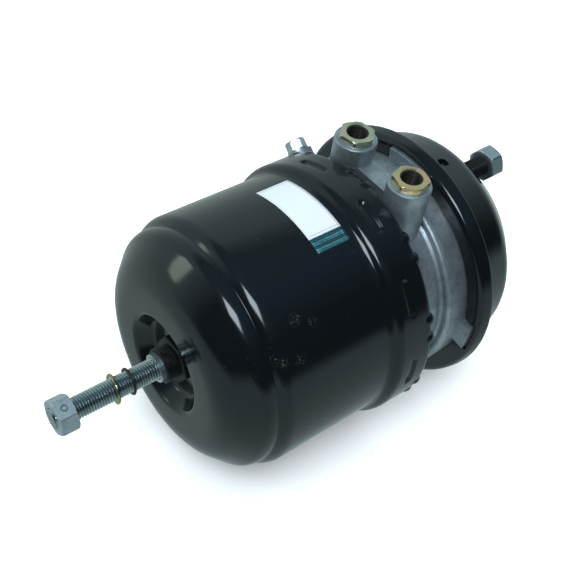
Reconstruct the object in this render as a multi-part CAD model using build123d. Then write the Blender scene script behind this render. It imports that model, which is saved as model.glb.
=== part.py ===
from build123d import *
import os
from math import atan2, cos, degrees, hypot, radians, tan

# A double brake chamber: a spring chamber with a piston at the front and a service chamber with a
# diaphragm at the back. Millimetres. +X runs along the axis from the release bolt to the mounting
# face, +Z runs up through the ports, and the origin is the centre of the mounting face.
# It stands as it is supplied: piston held back by the release bolt, push rod drawn in.

# Travel
STROKE = 57.0                  # of the piston, the push rod and the release bolt
RUNNING_GAP = 0.05             # radial clearance of a sliding or turning fit
SEAT_GAP = 0.3                 # clearance between a soft piece and its neighbour
ASSEMBLY_GAP = 0.4             # clearance where rigid pieces are only near each other

# Spring chamber housing, pressed from sheet
SHEET = 3.0
BARREL_R = 96.0
BAND_STEP = 5.4                # of the band over the barrel
BAND_REAR_X = -113.2
BAND_FRONT_X = -141.0
BAND_STEP_LENGTH = 13.0
BAND_STEP_ROUND = 9.0
GROOVE_X = -243.6
GROOVE_INSET = 4.7             # of the groove's front side under the barrel
GROOVE_DROP = 0.4
GROOVE_STEP_LENGTH = 3.2
DOME_R = 46.0                  # radius of the rounded front shoulder
DOME_SHOULDER_INSET = 20.0     # where the front plane and the slope behind the shoulder would meet
DOME_FRONT_X = -276.0
DOME_END_X = -250.0
DISH_FLOOR_X = -263.0
DISH_FLOOR_R = 36.0
DISH_RIM_R = 44.0
DISH_FLOOR_ROUND = 9.0
DISH_RIM_ROUND = 5.0
CRIMP_DEPTH = 7.8              # how far the crimped lip reaches inwards
CRIMP_ROUND = 4.5

# Pressed beads and crimp lobes round the band
BEAD_COUNT = 10
BEAD_TURN = 71.0               # degrees, the first bead, counted from +Y towards +Z
BEAD_X = -131.0
BEAD_HALF_LENGTH = 10.3
BEAD_HALF_WIDTH = 3.4
BEAD_DEPTH = 1.9
LOBE_SPREAD = 9.0              # degrees between the two lobes of a pair
LOBE_R = 6.0                   # of the ball that presses a lobe out
LOBE_RISE = 1.2                # over the band
LOBE_REACH = 2.8               # behind the band's rear edge

# Threaded neck and release bolt
BOLT_R = 8.0
NECK_R = 13.0
NECK_FRONT_X = -279.5
NECK_REAR_X = -250.0
NECK_BASE_R = 21.0
NECK_BASE_THICK = 3.0
NECK_WASHER_R = 10.6
NECK_WASHER_THICK = 3.0
BOLT_END_X = -361.5
BOLT_STICKOUT = 1.5            # of the bolt's end beyond its nut
BOLT_CHAMFER = 1.5
BOLT_HEAD_R = 12.5
BOLT_HEAD_LENGTH = 9.0
THRUST_RING_R = 13.4
THRUST_RING_THICK = 3.0
NUT_FLATS = 24.0
NUT_THICK = 13.0
NUT_CHAMFER = 0.93             # the face circle as a share of the width across flats
RELEASE_NUT_TURN = 107.0       # degrees, the flat that the pin goes through
NUT_PIN_R = 2.5
O_RING_X = -303.0
O_RING_WIRE_R = 1.3
RING_WASHER_X = -315.0
RING_WASHER_R = 11.2
RING_WASHER_THICK = 2.6
RING_WASHER_BORE_GAP = 0.6

# Parking piston, its tube and its seals
PISTON_REAR_X = -181.0         # rear face of the sealing rim
PISTON_RIM_LENGTH = 23.0
PISTON_WALL = 6.0
PISTON_GAP = 0.4
SEAT_X = -176.5                # spring seat, the front face of the crown
CROWN_THICK = 7.0
CUP_INSET = 24.0               # of the piston's deep cup under the barrel
CUP_ROUND = 6.0
LIP_SEAL_WIDTH = 6.0
LIP_SEAL_DEPTH = 5.0
WEAR_RING_WIDTH = 5.0
WEAR_RING_DEPTH = 2.0
TUBE_R = 24.0
TUBE_WALL = 9.5
TUBE_WELD = 2.0                # the weld that joins the tube to the crown
TUBE_END_X = -84.0
PLUNGER_END_X = -79.8
PLUNGER_SPIGOT = 12.0
BOLT_CLEARANCE = 0.6

# Power spring and return spring
POWER_WIRE_R = 7.0
POWER_CUP_GAP = 1.0            # between the spring and the wall of the piston's cup
POWER_TURNS = 5.5
POWER_SEAT_GAP = 1.5           # the first coil clears the dome's round by this
RETURN_WIRE_R = 2.0
RETURN_FRONT_R = 27.0
RETURN_REAR_R = 48.0
RETURN_TURNS = 4.5

# Centre flange, die-cast, and its ports
SPIGOT_GAP = 0.3
SPIGOT_GROOVE_DEPTH = 3.0
SPIGOT_FRONT_X = -141.5
SPIGOT_REAR_X = -116.4
SHOULDER_X = -123.3
NECK_WALL_INSET = 13.6         # of the neck between the chambers under the crimped lip
NECK_WALL = 6.5
WEB_FRONT_X = -111.0
WEB_THICK = 9.0
HUB_R = 37.0
HUB_CLEARANCE = 2.6            # of the hub's bore round the tube
HUB_REAR_X = -80.0
RIB_X = -81.0
RIB_RISE = 4.8
RIB_ROUND_R = 3.2
CUP_WALL_INSET = 1.4           # of the cup's wall under the folded lip
CUP_FRONT_X = -83.0
CLAMP_RIM_GAP = 0.6
CLAMP_RIM_THICK = 3.6
APRON_SPAN = 36.0              # degrees, of the casting that joins the port bosses to the cup
CUP_MOUTH_WALL = 3.0
STIFFENER_COUNT = 8
STIFFENER_THICK = 5.0
PORT_X = -97.0
PORT_SPREAD = 57.2
PORT_BOSS_RISE = 30.6          # of the bosses over the neck's wall
PORT_BOSS_R = 16.0
PORT_BOSS_FOOT_R = 15.4
PORT_BOSS_ROUND = 1.2
PORT_DRILL_R = 5.0
DUCT_R = 3.5                   # the spring port's drilling through the shoulder
DUCT_DEPTH = 2.5               # of the drilling under the neck's outside
DUCT_PAD_HALF = 7.0
DUCT_PAD_RISE = 5.0
PORT_BRIDGE_RISE = 16.0
PORT_BRIDGE_HALF = 8.0
LUG_TURNS = (90.0, 182.5, 270.0, 357.5)
LUG_SPANS = (22.0, 13.0, 13.0, 13.0)
LUG_FRONT_X = -69.0
LUG_REAR_X = -61.0
LUG_CLEARANCE = 1.8            # degrees between a lug and the side of its notch
PLUG_TURN = 38.0
PLUG_X = -101.0

# Port adapters: a hexagon on a threaded shank, with a threaded bore
ADAPTER_FLATS = 24.0
ADAPTER_HEX_HEIGHT = 4.2
ADAPTER_SHANK_R = 10.0
ADAPTER_SHANK_LENGTH = 14.0
ADAPTER_BORE_R = 7.25
ADAPTER_BORE_DEPTH = 13.0
ADAPTER_MOUTH_CHAMFER = 0.45
ADAPTER_SEAL_THICK = 0.8
ADAPTER_SEAL_R = 13.2
ADAPTER_TURNS = (12.0, -16.0)  # degrees, how far each hexagon is turned about its port
PLUG_FLATS = 14.0
PLUG_HEIGHT = 9.5
PLUG_SHANK_R = 5.0
PLUG_SHANK_LENGTH = 10.0
PLUG_BOSS_R = 10.5
PLUG_BOSS_RISE = 22.0

# Service chamber housing, pressed from sheet with its collar folded over the flange
SERVICE_SHEET = 2.8
COLLAR_RISE = 8.4              # of the collar's ridge over the barrel
COLLAR_RIDGE_X = -57.0
FOLD_DROP = 1.8
LIP_X = -66.0
LIP_DEPTH = 12.6
FOLD_ROUND = 5.0
COLLAR_ROUND = 1.6
COLLAR_STEP = 9.0              # from the collar down to the wall
WALL_REAR_X = -20.0
WALL_TAPER = 7.0
SHOULDER_DEPTH = 18.4
SHOULDER_ROUND = 20.0
FACE_ROUND = 6.0
OPENING_R = 36.0
DRAIN_TURN = 96.0
DRAIN_X = -39.0
DRAIN_R = 3.6
DRAIN_COUNT = 4

# Mounting studs and nuts
STUD_CIRCLE = 120.65
STUD_R = 8.0
STUD_CORE_R = 7.15
STUD_KNURL_R = 8.4             # of the knurled shank that is pressed into the housing
STUD_TURNS = (94.0, 274.0)
STUD_NUT_TURN = 120.0
STUD_NUT_X = 20.6
STUD_NUT_THICK = 13.0
STUD_END_X = 36.0
STUD_HEAD_THICK = 4.0
STUD_HEAD_LENGTH = 26.0
STUD_HEAD_WIDTH = 13.4

# Diaphragm, push plate, push rod and boot
DIAPHRAGM_THICK = 2.8
DIAPHRAGM_FRONT_X = -79.5
DIAPHRAGM_BEND_INSET = 18.6    # of the bend under the cup's wall
PLATE_INSET = 14.0             # of the plate's edge under the diaphragm's bend
PLATE_THICK = 5.0
PLATE_EDGE_RISE = 5.0
ROD_R = 11.0
ROD_TIP_X = 16.0
ROD_COLLAR_R = 17.0
ROD_COLLAR_LENGTH = 9.0
BOOT_FOLDS = 2
BOOT_WALL = 1.2
BOOT_GAP = 0.5                 # between the walls of one pleat
BOOT_ROUND = 1.4
BOOT_TAPER = 4.0               # each pleat is smaller by this
BOOT_STEP = 2.0                # each inner fold is nearer to the rod by this
BOOT_SLEEVE_X = 7.0
BOOT_RING_FLANGE = 8.0         # how far the ring reaches outside the opening's edge
BOOT_RING_THICK = 1.6
BOOT_RING_LAP = 4.0            # how far the ring reaches inside the opening's edge

BAND_R = BARREL_R + BAND_STEP
GROOVE_R = BARREL_R - GROOVE_INSET
DOME_SHOULDER_R = BARREL_R - DOME_SHOULDER_INSET
CRIMP_LIP_R = BAND_R - CRIMP_DEPTH
RELEASE_NUT_X = BOLT_END_X + BOLT_STICKOUT
CUP_R = BARREL_R - CUP_INSET
POWER_MEAN_R = CUP_R - PISTON_WALL - POWER_CUP_GAP - POWER_WIRE_R
TUBE_BORE_R = TUBE_R - TUBE_WALL
COLLAR_R = BARREL_R + COLLAR_RISE
FOLD_R = COLLAR_R - FOLD_DROP
LIP_R = FOLD_R - LIP_DEPTH
WALL_FRONT_R = COLLAR_R - COLLAR_STEP
WALL_REAR_R = WALL_FRONT_R - WALL_TAPER
SHOULDER_END_R = WALL_REAR_R - SHOULDER_DEPTH
SPIGOT_R = BAND_R - SHEET - SPIGOT_GAP
FLANGE_BORE_R = BARREL_R - SHEET
NECK_WALL_R = CRIMP_LIP_R - NECK_WALL_INSET
RIB_R = NECK_WALL_R + RIB_RISE
CUP_WALL_R = LIP_R - CUP_WALL_INSET
CLAMP_RIM_R = FOLD_R - SERVICE_SHEET - CLAMP_RIM_GAP
PORT_BOSS_TOP = NECK_WALL_R + PORT_BOSS_RISE
PORT_BRIDGE_TOP = NECK_WALL_R + PORT_BRIDGE_RISE
DUCT_Z = NECK_WALL_R - DUCT_DEPTH
DUCT_PAD_TOP = NECK_WALL_R + DUCT_PAD_RISE
PLUG_BOSS_TOP = NECK_WALL_R + PLUG_BOSS_RISE
DIAPHRAGM_BEND_R = CUP_WALL_R - DIAPHRAGM_BEND_INSET
PLATE_R = DIAPHRAGM_BEND_R - PLATE_INSET
BOOT_RING_R = OPENING_R + BOOT_RING_FLANGE
STUD_CIRCLE_R = STUD_CIRCLE / 2
ADAPTER_SEAT_Z = PORT_BOSS_TOP + ADAPTER_SEAL_THICK
CLAMP_FRONT_X = LIP_X + SERVICE_SHEET
CLAMP_REAR_X = CLAMP_FRONT_X + CLAMP_RIM_THICK
STEP_X = CLAMP_REAR_X + DIAPHRAGM_THICK
COLLAR_REAR_X = STEP_X + SERVICE_SHEET
PLATE_FRONT_X = DIAPHRAGM_FRONT_X + DIAPHRAGM_THICK + SEAT_GAP
POWER_FRONT_X = DOME_FRONT_X + SHEET + POWER_WIRE_R + POWER_SEAT_GAP


def eased(corners):
    """The corners with each rounding's reach along its sides, cut down where two would meet on one side."""
    count = len(corners)
    reaches = []
    for i, (x, r, rounding) in enumerate(corners):
        x0, r0, _ = corners[i - 1]
        x1, r1, _ = corners[(i + 1) % count]
        change = atan2(r1 - r, x1 - x) - atan2(r - r0, x - x0)
        reaches.append(rounding * abs(tan(change / 2)))
    shares = [1.0] * count
    for i in range(count):
        j = (i + 1) % count
        length = hypot(corners[j][0] - corners[i][0], corners[j][1] - corners[i][1])
        if reaches[i] + reaches[j] > length:
            share = 0.99 * length / (reaches[i] + reaches[j])
            shares[i], shares[j] = min(shares[i], share), min(shares[j], share)
    return [reach * share for reach, share in zip(reaches, shares)]


def outline(corners):
    """A closed face in the XY plane from (x, radius, rounding) corners."""
    points = [Vector(x, r) for x, r, _ in corners]
    count = len(points)
    edges = []
    ends = []
    for i, reach in enumerate(eased(corners)):
        before = (points[i] - points[i - 1]).normalized()
        after = (points[(i + 1) % count] - points[i]).normalized()
        start, end = points[i] - before * reach, points[i] + after * reach
        ends.append((start, end))
        if reach > 0:
            edges.append(TangentArc(start, end, tangent=before))
    for i in range(count):
        start, end = ends[i - 1][1], ends[i][0]
        if (end - start).length > 1e-6:
            edges.append(Line(start, end))
    return make_face(edges)


def turned(corners):
    """A solid of revolution about the axis from (x, radius, rounding) corners."""
    return revolve(outline(corners), Axis.X)


def sheet_corners(path, thickness):
    """The closed section of a sheet whose outer side is the path, with its thickness on the path's right."""
    inner = []
    for i, (x, r, rounding) in enumerate(path):
        sides = []
        if i > 0:
            sides.append((path[i - 1], path[i]))
        if i < len(path) - 1:
            sides.append((path[i], path[i + 1]))
        normals = []
        for (x0, r0, _), (x1, r1, _) in sides:
            length = hypot(x1 - x0, r1 - r0)
            normals.append(((r1 - r0) / length, (x0 - x1) / length))
        first, last = normals[0], normals[-1]
        share = thickness / (1 + first[0] * last[0] + first[1] * last[1])
        left_turn = first[0] * last[1] - first[1] * last[0] > 0
        inner_rounding = 0.0
        if rounding > 0:
            inner_rounding = max(rounding + (thickness if left_turn else -thickness), 0.0)
        inner.append((x + share * (first[0] + last[0]), r + share * (first[1] + last[1]), inner_rounding))
    return list(path) + inner[::-1]


def pressed(path, thickness):
    """A pressed sheet pot, turned about the axis."""
    return turned(sheet_corners(path, thickness))


def rod(x0, x1, radius):
    """A plain cylinder along the axis from x0 to x1."""
    return Plane.YZ.offset(x0) * extrude(Circle(radius), x1 - x0)


def ring(x0, x1, outer, inner):
    """A plain ring along the axis from x0 to x1."""
    return rod(x0, x1, outer) - rod(x0, x1, inner)


def around(turn, x=0.0, radius=0.0):
    """The place at an angle round the axis, with local Z pointing outwards and local X along the axis."""
    return Location((x, 0, 0)) * Rotation(turn - 90, 0, 0) * Location((0, 0, radius))


def hexagon(flats):
    """A hexagon with its flats square to local Y."""
    return RegularPolygon(flats / 2, 6, major_radius=False, rotation=30)


def hex_nut(x0, thickness, flats, bore, turn):
    """A chamfered hexagon nut on the axis, with one flat facing the given turn."""
    blank = Plane.YZ.offset(x0) * extrude(Rotation(0, 0, turn - 90) * hexagon(flats), thickness)
    face_r, corner_r = flats / 2 * NUT_CHAMFER, flats / 2 / cos(radians(30)) + 0.1
    slope = (corner_r - face_r) * tan(radians(30))
    cone = turned([(x0, 0, 0), (x0, face_r, 0), (x0 + slope, corner_r, 0),
                   (x0 + thickness - slope, corner_r, 0), (x0 + thickness, face_r, 0), (x0 + thickness, 0, 0)])
    return (blank & cone) - rod(x0 - 1, x0 + thickness + 1, bore)


def sector(x0, x1, inner, outer, turn, span):
    """A part of a ring, span degrees wide and centred on the given turn."""
    section = outline([(x0, inner, 0), (x1, inner, 0), (x1, outer, 0), (x0, outer, 0)])
    return Rotation(turn - span / 2, 0, 0) * revolve(section, Axis.X, span)


def coil(front_x, rear_x, front_r, rear_r, wire_r, turns):
    """A closed coil spring, its wire following a helix that may widen along the axis."""
    length = rear_x - front_x
    helix = Helix(length / turns, length, front_r, cone_angle=degrees(atan2(rear_r - front_r, length)))
    start = Plane(helix @ 0, z_dir=helix % 0)
    wire = sweep(start * Circle(wire_r), helix, is_frenet=True)
    return Location((front_x, 0, 0)) * Rotation(0, 90, 0) * wire


# Spring chamber

def spring_housing():
    """Dished and domed front, barrel, stepped band with pressed beads and crimp lobes, and the crimped rear edge."""
    body = pressed([
        (DISH_FLOOR_X, NECK_R + ASSEMBLY_GAP, 0),
        (DISH_FLOOR_X, DISH_FLOOR_R, DISH_FLOOR_ROUND),
        (DOME_FRONT_X, DISH_RIM_R, DISH_RIM_ROUND),
        (DOME_FRONT_X, DOME_SHOULDER_R, DOME_R),
        (DOME_END_X, GROOVE_R, 5.0),
        (GROOVE_X, GROOVE_R - GROOVE_DROP, 1.0),
        (GROOVE_X + GROOVE_STEP_LENGTH, BARREL_R, 5.0),
        (BAND_FRONT_X - BAND_STEP_LENGTH, BARREL_R, BAND_STEP_ROUND),
        (BAND_FRONT_X, BAND_R, BAND_STEP_ROUND),
        (BAND_REAR_X, BAND_R, CRIMP_ROUND),
        (BAND_REAR_X, CRIMP_LIP_R, 0),
    ], SHEET)
    pitch = 360 / BEAD_COUNT
    for i in range(BEAD_COUNT):
        turn = BEAD_TURN + i * pitch
        body -= pressed_bead(turn)
        for side in (-1, 1):
            body += crimp_lobe(turn + pitch / 2 + side * LOBE_SPREAD / 2)
    return body


def pressed_bead(turn):
    """The tool of one oblong bead: a round bar bent round the band, with ball ends."""
    half_span = degrees(BEAD_HALF_LENGTH / BAND_R)
    tool_r = BAND_R + BEAD_HALF_WIDTH - BEAD_DEPTH
    section = Pos(BEAD_X, tool_r) * Circle(BEAD_HALF_WIDTH)
    bead = Rotation(turn - half_span, 0, 0) * revolve(section, Axis.X, 2 * half_span)
    for side in (-1, 1):
        bead += around(turn + side * half_span, BEAD_X, tool_r) * Sphere(BEAD_HALF_WIDTH)
    return bead


def crimp_lobe(turn):
    """One lobe of the crimp: the part of a ball that stands out of the sheet's middle."""
    ball = around(turn, BAND_REAR_X + LOBE_REACH - LOBE_R, BAND_R + LOBE_RISE - LOBE_R) * Sphere(LOBE_R)
    return ball - rod(BAND_REAR_X - 2 * LOBE_R, BAND_REAR_X - SHEET / 2, BAND_R - SHEET / 2)


def neck_bush():
    """The threaded neck that carries the release bolt, with its base welded in the dish."""
    base_x = DISH_FLOOR_X - NECK_BASE_THICK
    return turned([
        (NECK_FRONT_X, BOLT_R + RUNNING_GAP, 0),
        (NECK_REAR_X, BOLT_R + RUNNING_GAP, 0),
        (NECK_REAR_X, NECK_R, 1.0),
        (DISH_FLOOR_X, NECK_R, 0),
        (DISH_FLOOR_X, NECK_BASE_R, 0),
        (base_x, NECK_BASE_R, 1.5),
        (base_x - 4.0, NECK_R, 3.0),
        (NECK_FRONT_X, NECK_R, 1.0),
    ])


def neck_washer():
    """The plated collar washer on the end of the neck."""
    return ring(NECK_FRONT_X - NECK_WASHER_THICK, NECK_FRONT_X, NECK_WASHER_R, BOLT_R + ASSEMBLY_GAP)


def release_bolt():
    """The long release bolt, with the head that pulls the piston back, drilled for the nut's pin."""
    thrust_x = SEAT_X + CROWN_THICK + THRUST_RING_THICK
    head_end = thrust_x + BOLT_HEAD_LENGTH
    body = turned([
        (BOLT_END_X, 0, 0),
        (BOLT_END_X, BOLT_R - BOLT_CHAMFER, 0),
        (BOLT_END_X + BOLT_CHAMFER, BOLT_R, 0),
        (thrust_x, BOLT_R, 0),
        (thrust_x, BOLT_HEAD_R, 0),
        (head_end, BOLT_HEAD_R, 1.5),
        (head_end, 0, 0),
    ])
    return body - nut_pin_hole()


def nut_pin_hole():
    """The cross hole through the release nut and the bolt."""
    middle = RELEASE_NUT_X + NUT_THICK / 2
    return around(RELEASE_NUT_TURN, middle) * extrude(Circle(NUT_PIN_R), NUT_FLATS, both=True)


def release_nut():
    """The nut pinned to the bolt's outer end, where a spanner turns it."""
    nut = hex_nut(RELEASE_NUT_X, NUT_THICK, NUT_FLATS, BOLT_R, RELEASE_NUT_TURN)
    return nut - nut_pin_hole()


def nut_pin():
    """The slotted spring pin across the release nut."""
    middle = RELEASE_NUT_X + NUT_THICK / 2
    pin = extrude(Circle(NUT_PIN_R) - Circle(NUT_PIN_R * 0.6), NUT_FLATS / 2 - 0.5, both=True)
    slot = Box(NUT_PIN_R, NUT_PIN_R * 0.35, NUT_FLATS, align=(Align.MIN, Align.CENTER, Align.CENTER))
    return around(RELEASE_NUT_TURN, middle) * (pin - slot)


def bolt_o_ring():
    """The rubber ring on the release bolt."""
    section = Pos(O_RING_X, BOLT_R + RUNNING_GAP + O_RING_WIRE_R) * Circle(O_RING_WIRE_R)
    return revolve(section, Axis.X)


def bolt_ring_washer():
    """The plated ring washer on the release bolt."""
    half = RING_WASHER_THICK / 2
    bore = BOLT_R + RING_WASHER_BORE_GAP
    return turned([
        (RING_WASHER_X - half, bore, 0),
        (RING_WASHER_X + half, bore, 0),
        (RING_WASHER_X + half, RING_WASHER_R, 0.9),
        (RING_WASHER_X - half, RING_WASHER_R, 0.9),
    ])


def bolt_thrust_ring():
    """The bearing ring between the bolt's head and the piston's crown."""
    front = SEAT_X + CROWN_THICK
    return ring(front, front + THRUST_RING_THICK, THRUST_RING_R, BOLT_R + ASSEMBLY_GAP)


# Parking piston

def piston_rim_r():
    """Outside radius of the piston, from the barrel's bore."""
    return BARREL_R - SHEET - PISTON_GAP


def seal_middles():
    """The places along the axis of the lip seal and the wear ring."""
    front = PISTON_REAR_X - PISTON_RIM_LENGTH
    return PISTON_REAR_X - 6.5, front + 6.0


def parking_piston():
    """The dished piston, with grooves for its seal and wear ring and a seat for the power spring."""
    rim = piston_rim_r()
    front = PISTON_REAR_X - PISTON_RIM_LENGTH
    crown_rear = SEAT_X + CROWN_THICK
    body = turned([
        (SEAT_X, BOLT_R + BOLT_CLEARANCE, 0),
        (SEAT_X, CUP_R - PISTON_WALL, CUP_ROUND - 2.0),
        (PISTON_REAR_X - PISTON_WALL, CUP_R - PISTON_WALL, 3.0),
        (PISTON_REAR_X - PISTON_WALL, rim - PISTON_WALL - 3.0, 3.0),
        (front, rim - PISTON_WALL - 2.0, 0),
        (front, rim, 1.0),
        (PISTON_REAR_X, rim, 1.0),
        (PISTON_REAR_X, CUP_R, 2.0),
        (crown_rear, CUP_R, CUP_ROUND),
        (crown_rear, BOLT_R + BOLT_CLEARANCE, 0),
    ])
    seal_x, wear_x = seal_middles()
    body -= ring(seal_x - LIP_SEAL_WIDTH / 2, seal_x + LIP_SEAL_WIDTH / 2, rim + 1, rim - LIP_SEAL_DEPTH)
    body -= ring(wear_x - WEAR_RING_WIDTH / 2, wear_x + WEAR_RING_WIDTH / 2, rim + 1, rim - WEAR_RING_DEPTH)
    return body


def piston_lip_seal():
    """The rubber lip seal in the piston's rear groove, its lip towards the air side."""
    rim = piston_rim_r()
    seal_x, _ = seal_middles()
    half = LIP_SEAL_WIDTH / 2
    bore = BARREL_R - SHEET - RUNNING_GAP
    return turned([
        (seal_x - half, rim - LIP_SEAL_DEPTH, 0),
        (seal_x + half, rim - LIP_SEAL_DEPTH, 0),
        (seal_x + half, rim - LIP_SEAL_DEPTH + 1.6, 0),
        (seal_x, rim - LIP_SEAL_DEPTH + 2.4, 0),
        (seal_x + half, bore, 0),
        (seal_x + half - 1.6, bore, 0),
        (seal_x - half, rim - 0.6, 0),
    ])


def piston_wear_ring():
    """The plastic guide ring in the piston's front groove."""
    rim = piston_rim_r()
    _, wear_x = seal_middles()
    half = WEAR_RING_WIDTH / 2
    return ring(wear_x - half, wear_x + half, BARREL_R - SHEET - RUNNING_GAP, rim - WEAR_RING_DEPTH)


def piston_tube():
    """The tube that carries the piston's force through the centre flange."""
    start = SEAT_X + CROWN_THICK
    return turned([
        (start, TUBE_BORE_R, 0),
        (TUBE_END_X, TUBE_BORE_R, 0),
        (TUBE_END_X, TUBE_R, 1.0),
        (start + TUBE_WELD, TUBE_R, 0),
        (start, TUBE_R + TUBE_WELD, 0),
    ])


def tube_plunger():
    """The pad that closes the tube and bears on the diaphragm."""
    return turned([
        (TUBE_END_X - PLUNGER_SPIGOT, 0, 0),
        (TUBE_END_X - PLUNGER_SPIGOT, TUBE_BORE_R, 1.0),
        (TUBE_END_X, TUBE_BORE_R, 0),
        (TUBE_END_X, TUBE_R - 0.5, 0),
        (PLUNGER_END_X, TUBE_R - 0.5, 1.5),
        (PLUNGER_END_X, 0, 0),
    ])


def power_spring():
    """The parking spring, held compressed between the dome and the piston's crown."""
    return coil(POWER_FRONT_X, SEAT_X - POWER_WIRE_R, POWER_MEAN_R, POWER_MEAN_R, POWER_WIRE_R, POWER_TURNS)


# Centre flange

def port_y(side):
    """How far a port is from the middle plane, on the given side."""
    return side * PORT_SPREAD / 2


def centre_flange():
    """The die-cast flange between the chambers: spigot, web, hub, cup, port bosses and lugs."""
    hub_bore = TUBE_R + HUB_CLEARANCE
    web_rear = WEB_FRONT_X + WEB_THICK
    inner = NECK_WALL_R - NECK_WALL
    body = turned([
        (WEB_FRONT_X, hub_bore, 0),
        (HUB_REAR_X, hub_bore, 0),
        (HUB_REAR_X, HUB_R, 2.0),
        (web_rear, HUB_R + 1.5, 4.0),
        (web_rear, inner - 1.0, 4.0),
        (CUP_FRONT_X + 1.0, inner - 1.0, 2.0),
        (CUP_FRONT_X + 4.0, DIAPHRAGM_BEND_R + 1.5, 0),
        (CLAMP_REAR_X, CUP_WALL_R - CUP_MOUTH_WALL + 0.8, 4.0),
        (CLAMP_REAR_X, CLAMP_RIM_R, 0),
        (CLAMP_FRONT_X, CLAMP_RIM_R, FOLD_ROUND - SERVICE_SHEET + ASSEMBLY_GAP),
        (CLAMP_FRONT_X, CUP_WALL_R, 1.2),
        (CUP_FRONT_X + 3.0, CUP_WALL_R, 0),
        (CUP_FRONT_X, NECK_WALL_R + 1.6, 0),
        (CUP_FRONT_X - 2.0, NECK_WALL_R, 2.0),
        (SPIGOT_REAR_X, NECK_WALL_R, 3.0),
        (SPIGOT_REAR_X, SPIGOT_R, 1.6),
        (SPIGOT_FRONT_X, SPIGOT_R, 1.0),
        (SPIGOT_FRONT_X, FLANGE_BORE_R, 1.0),
        (SHOULDER_X, FLANGE_BORE_R, 2.0),
        (SHOULDER_X, inner + 0.5, 2.0),
        (WEB_FRONT_X, inner + 0.5, 2.0),
    ])
    body += revolve(Pos(RIB_X, RIB_R) * Circle(RIB_ROUND_R), Axis.X)
    body += stiffeners(web_rear, inner)
    body += port_bosses()
    for turn, span in zip(LUG_TURNS, LUG_SPANS):
        body += sector(LUG_FRONT_X, LUG_REAR_X, CUP_WALL_R - 2.0, CLAMP_RIM_R - ASSEMBLY_GAP, turn, span)
    body -= port_drillings()
    seal_x = spigot_seal_x()
    body -= ring(seal_x - 2.4, seal_x + 2.4, SPIGOT_R + 1, SPIGOT_R - SPIGOT_GROOVE_DEPTH)
    for x, half, depth in tube_grooves():
        body -= ring(x - half, x + half, hub_bore + depth, hub_bore - 1)
    return body


def stiffeners(web_rear, inner):
    """The radial ribs between the hub and the cup wall, on the service side of the web."""
    rib_end = HUB_REAR_X
    low, high = HUB_R - 2.0, inner + 2.0
    blade = Pos((web_rear + rib_end) / 2 - 0.5, 0, (low + high) / 2) * Box(
        rib_end - web_rear + 1, STIFFENER_THICK, high - low)
    pitch = 360 / STIFFENER_COUNT
    blades = Part()
    for i in range(STIFFENER_COUNT):
        blades += Rotation((i + 0.5) * pitch, 0, 0) * blade
    return blades


def port_bosses():
    """Two tall port bosses joined by a bridge, and the low boss of the side plug."""
    foot_z = NECK_WALL_R - 12.0
    bosses = Part()
    for side in (-1, 1):
        place = Pos(PORT_X, port_y(side), foot_z)
        boss = place * Cone(PORT_BOSS_FOOT_R, PORT_BOSS_R, PORT_BOSS_TOP - foot_z,
                            align=(Align.CENTER, Align.CENTER, Align.MIN))
        bosses += fillet(boss.edges().group_by(Axis.Z)[-1], PORT_BOSS_ROUND)
    bridge = Pos(PORT_X, 0, (foot_z + PORT_BRIDGE_TOP) / 2) * Box(
        2 * PORT_BRIDGE_HALF, PORT_SPREAD, PORT_BRIDGE_TOP - foot_z)
    apron_end = LUG_FRONT_X + 1.0
    section = outline([
        (PORT_X, NECK_WALL_R - 2.0, 0),
        (CUP_FRONT_X, NECK_WALL_R - 2.0, 0),
        (apron_end, CUP_WALL_R - 2.0, 0),
        (apron_end, CUP_WALL_R, 0),
        (PORT_X, CUP_WALL_R, 0),
    ])
    apron = Rotation(LUG_TURNS[0] - APRON_SPAN / 2, 0, 0) * revolve(section, Axis.X, APRON_SPAN)
    duct_pad = Pos((SPIGOT_REAR_X + PORT_X) / 2, port_y(1), (foot_z + DUCT_PAD_TOP) / 2) * Box(
        PORT_X - SPIGOT_REAR_X + 1.0, 2 * DUCT_PAD_HALF, DUCT_PAD_TOP - foot_z)
    side_boss = around(PLUG_TURN, PLUG_X) * Pos(0, 0, foot_z) * Cylinder(
        PLUG_BOSS_R, PLUG_BOSS_TOP - foot_z, align=(Align.CENTER, Align.CENTER, Align.MIN))
    keep_clear = rod(SPIGOT_REAR_X - 1.0, LIP_X, NECK_WALL_R - NECK_WALL + 0.5)
    return (bosses + bridge + apron + duct_pad + side_boss) - keep_clear


def port_drillings():
    """Threaded mouths, the service port's drilling and the spring port's drilling through the web."""
    mouth = Cylinder(ADAPTER_SHANK_R, ADAPTER_SHANK_LENGTH + 0.5, align=(Align.CENTER, Align.CENTER, Align.MAX))
    cuts = Part()
    for side, bottom in ((-1, NECK_WALL_R - 20.0), (1, DUCT_Z - DUCT_R)):
        drill = Cylinder(PORT_DRILL_R, PORT_BOSS_TOP - bottom, align=(Align.CENTER, Align.CENTER, Align.MAX))
        cuts += Pos(PORT_X, port_y(side), PORT_BOSS_TOP) * (mouth + drill)
    cuts += Pos(0, port_y(1), DUCT_Z) * rod(SHOULDER_X - 5.0, PORT_X, DUCT_R)
    cuts += around(PLUG_TURN, PLUG_X, PLUG_BOSS_TOP) * Cylinder(
        PLUG_SHANK_R, PLUG_SHANK_LENGTH + 2.0, align=(Align.CENTER, Align.CENTER, Align.MAX))
    return cuts


def spigot_seal_x():
    """Place of the sealing ring along the flange's spigot."""
    return SPIGOT_FRONT_X + 4.5


def tube_grooves():
    """Place, half width and depth of the grooves in the hub bore: guide, seal, guide."""
    first, last = WEB_FRONT_X + 5.0, HUB_REAR_X - 5.0
    return ((first, 3.0, 1.0), ((first + last) / 2, 2.6, 2.4), (last, 3.0, 1.0))


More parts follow.
